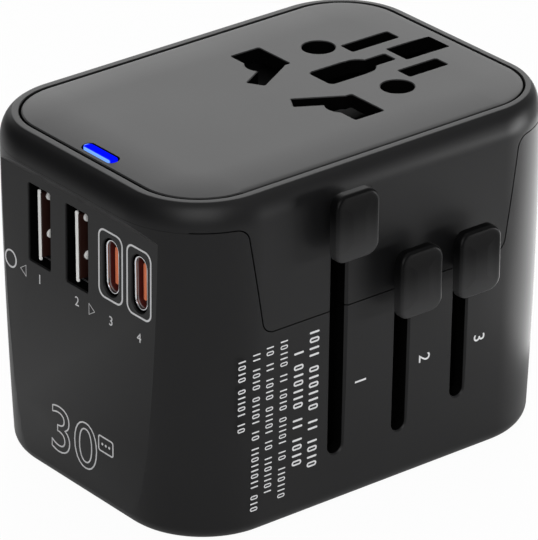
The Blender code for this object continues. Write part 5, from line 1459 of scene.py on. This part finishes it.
PAPER_START, PAPER_END, PAPER_REACH, PAPER_DROP = 0.12, 0.40, 3.0, 0.1 * MM
PAPER_WHITE, PAPER_SHEEN = 0.965, 0.19
floor_mesh = bmesh.new()
bmesh.ops.create_grid(floor_mesh, x_segments=4, y_segments=4, size=PAPER_REACH)
bmesh.ops.translate(floor_mesh, verts=floor_mesh.verts, vec=(0.0, 0.0, -PAPER_DROP))
floor = object_of("studio_floor", floor_mesh)
wear(floor, floor_finish())
floor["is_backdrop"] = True
print("paper", 2 * PAPER_REACH, "m wide, white out to", PAPER_START, "m")

# %% The room
class Room(Look):
    """The same node maths, on the world instead of a material."""

    def __init__(self, name):
        world = bpy.data.worlds.new(name)
        world.use_nodes = True
        bpy.context.scene.world = world
        self.tree = world.node_tree
        self.feed(self.tree.nodes["Background"].inputs["Color"], (1.0, 1.0, 1.0))

    def towards(self, direction, start, end):
        """1 where the room is seen in that direction, falling to 0 away from it."""
        inputs = {0: self.node("ShaderNodeTexCoord", output="Generated"), 1: Vector(direction).normalized()}
        share = self.node("ShaderNodeVectorMath", {"operation": "DOT_PRODUCT"}, inputs, output="Value")
        return self.fade(share, start, end)


ROOM_DIM, ROOM_CEILING, ROOM_BRIGHT = 0.035, 0.46, 2.15
room = Room("studio_room")
ceiling = room.towards((0.0, 0.0, 1.0), 0.05, 0.95)
bright_end = room.towards((0.62, 0.76, 0.20), 0.72, 1.0)
dark_end = room.towards((-0.70, 0.70, 0.14), 0.36, 0.95)
glow = (ROOM_DIM + ceiling * ROOM_CEILING + bright_end * ROOM_BRIGHT) * (1.0 - dark_end * 0.95)
seen = room.node("ShaderNodeLightPath", output="Is Camera Ray")
room.feed(room.tree.nodes["Background"].inputs["Strength"], glow * (1.0 - seen) + seen)
print("room: dim", ROOM_DIM, "ceiling", ROOM_CEILING, "bright end", ROOM_BRIGHT)


# %% Lamps
def softbox(name, place, size, power, aim=(0.0, 0.0, 0.03)):
    lamp = bpy.data.lights.new(name, "AREA")
    lamp.shape, lamp.size, lamp.size_y, lamp.energy = "RECTANGLE", size[0], size[1], power
    holder = bpy.data.objects.new(name, lamp)
    holder.location = place
    holder.rotation_euler = (Vector(aim) - Vector(place)).to_track_quat("-Z", "Y").to_euler()
    holder.visible_camera = False
    bpy.context.scene.collection.objects.link(holder)


softbox("overhead_softbox", (0.30, 0.35, 0.80), (0.6, 0.6), 1.0)
softbox("front_softbox", (-0.55, -0.65, 0.62), (0.8, 0.8), 6.0)
softbox("low_front_softbox", (0.62, -0.46, 0.05), (0.30, 0.09), 2.5)
softbox("right_light_table", (0.115, 0.025, 0.002), (0.13, 0.16), 0.18, (0.115, 0.025, 1.0))

bpy.context.scene.view_settings.view_transform = "Standard"
print("lamps:", len(bpy.data.lights))

# %% [markdown]
# ## Measure
# The model's size before and after dressing is printed, so that a piece that strays out of the CAD box is
# noticed.

# %% Size and finish
dressed_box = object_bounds()
growth = dressed_box[1] - dressed_box[0] - cad_size
print("grown by mm:", [round(side / MM, 3) for side in growth])
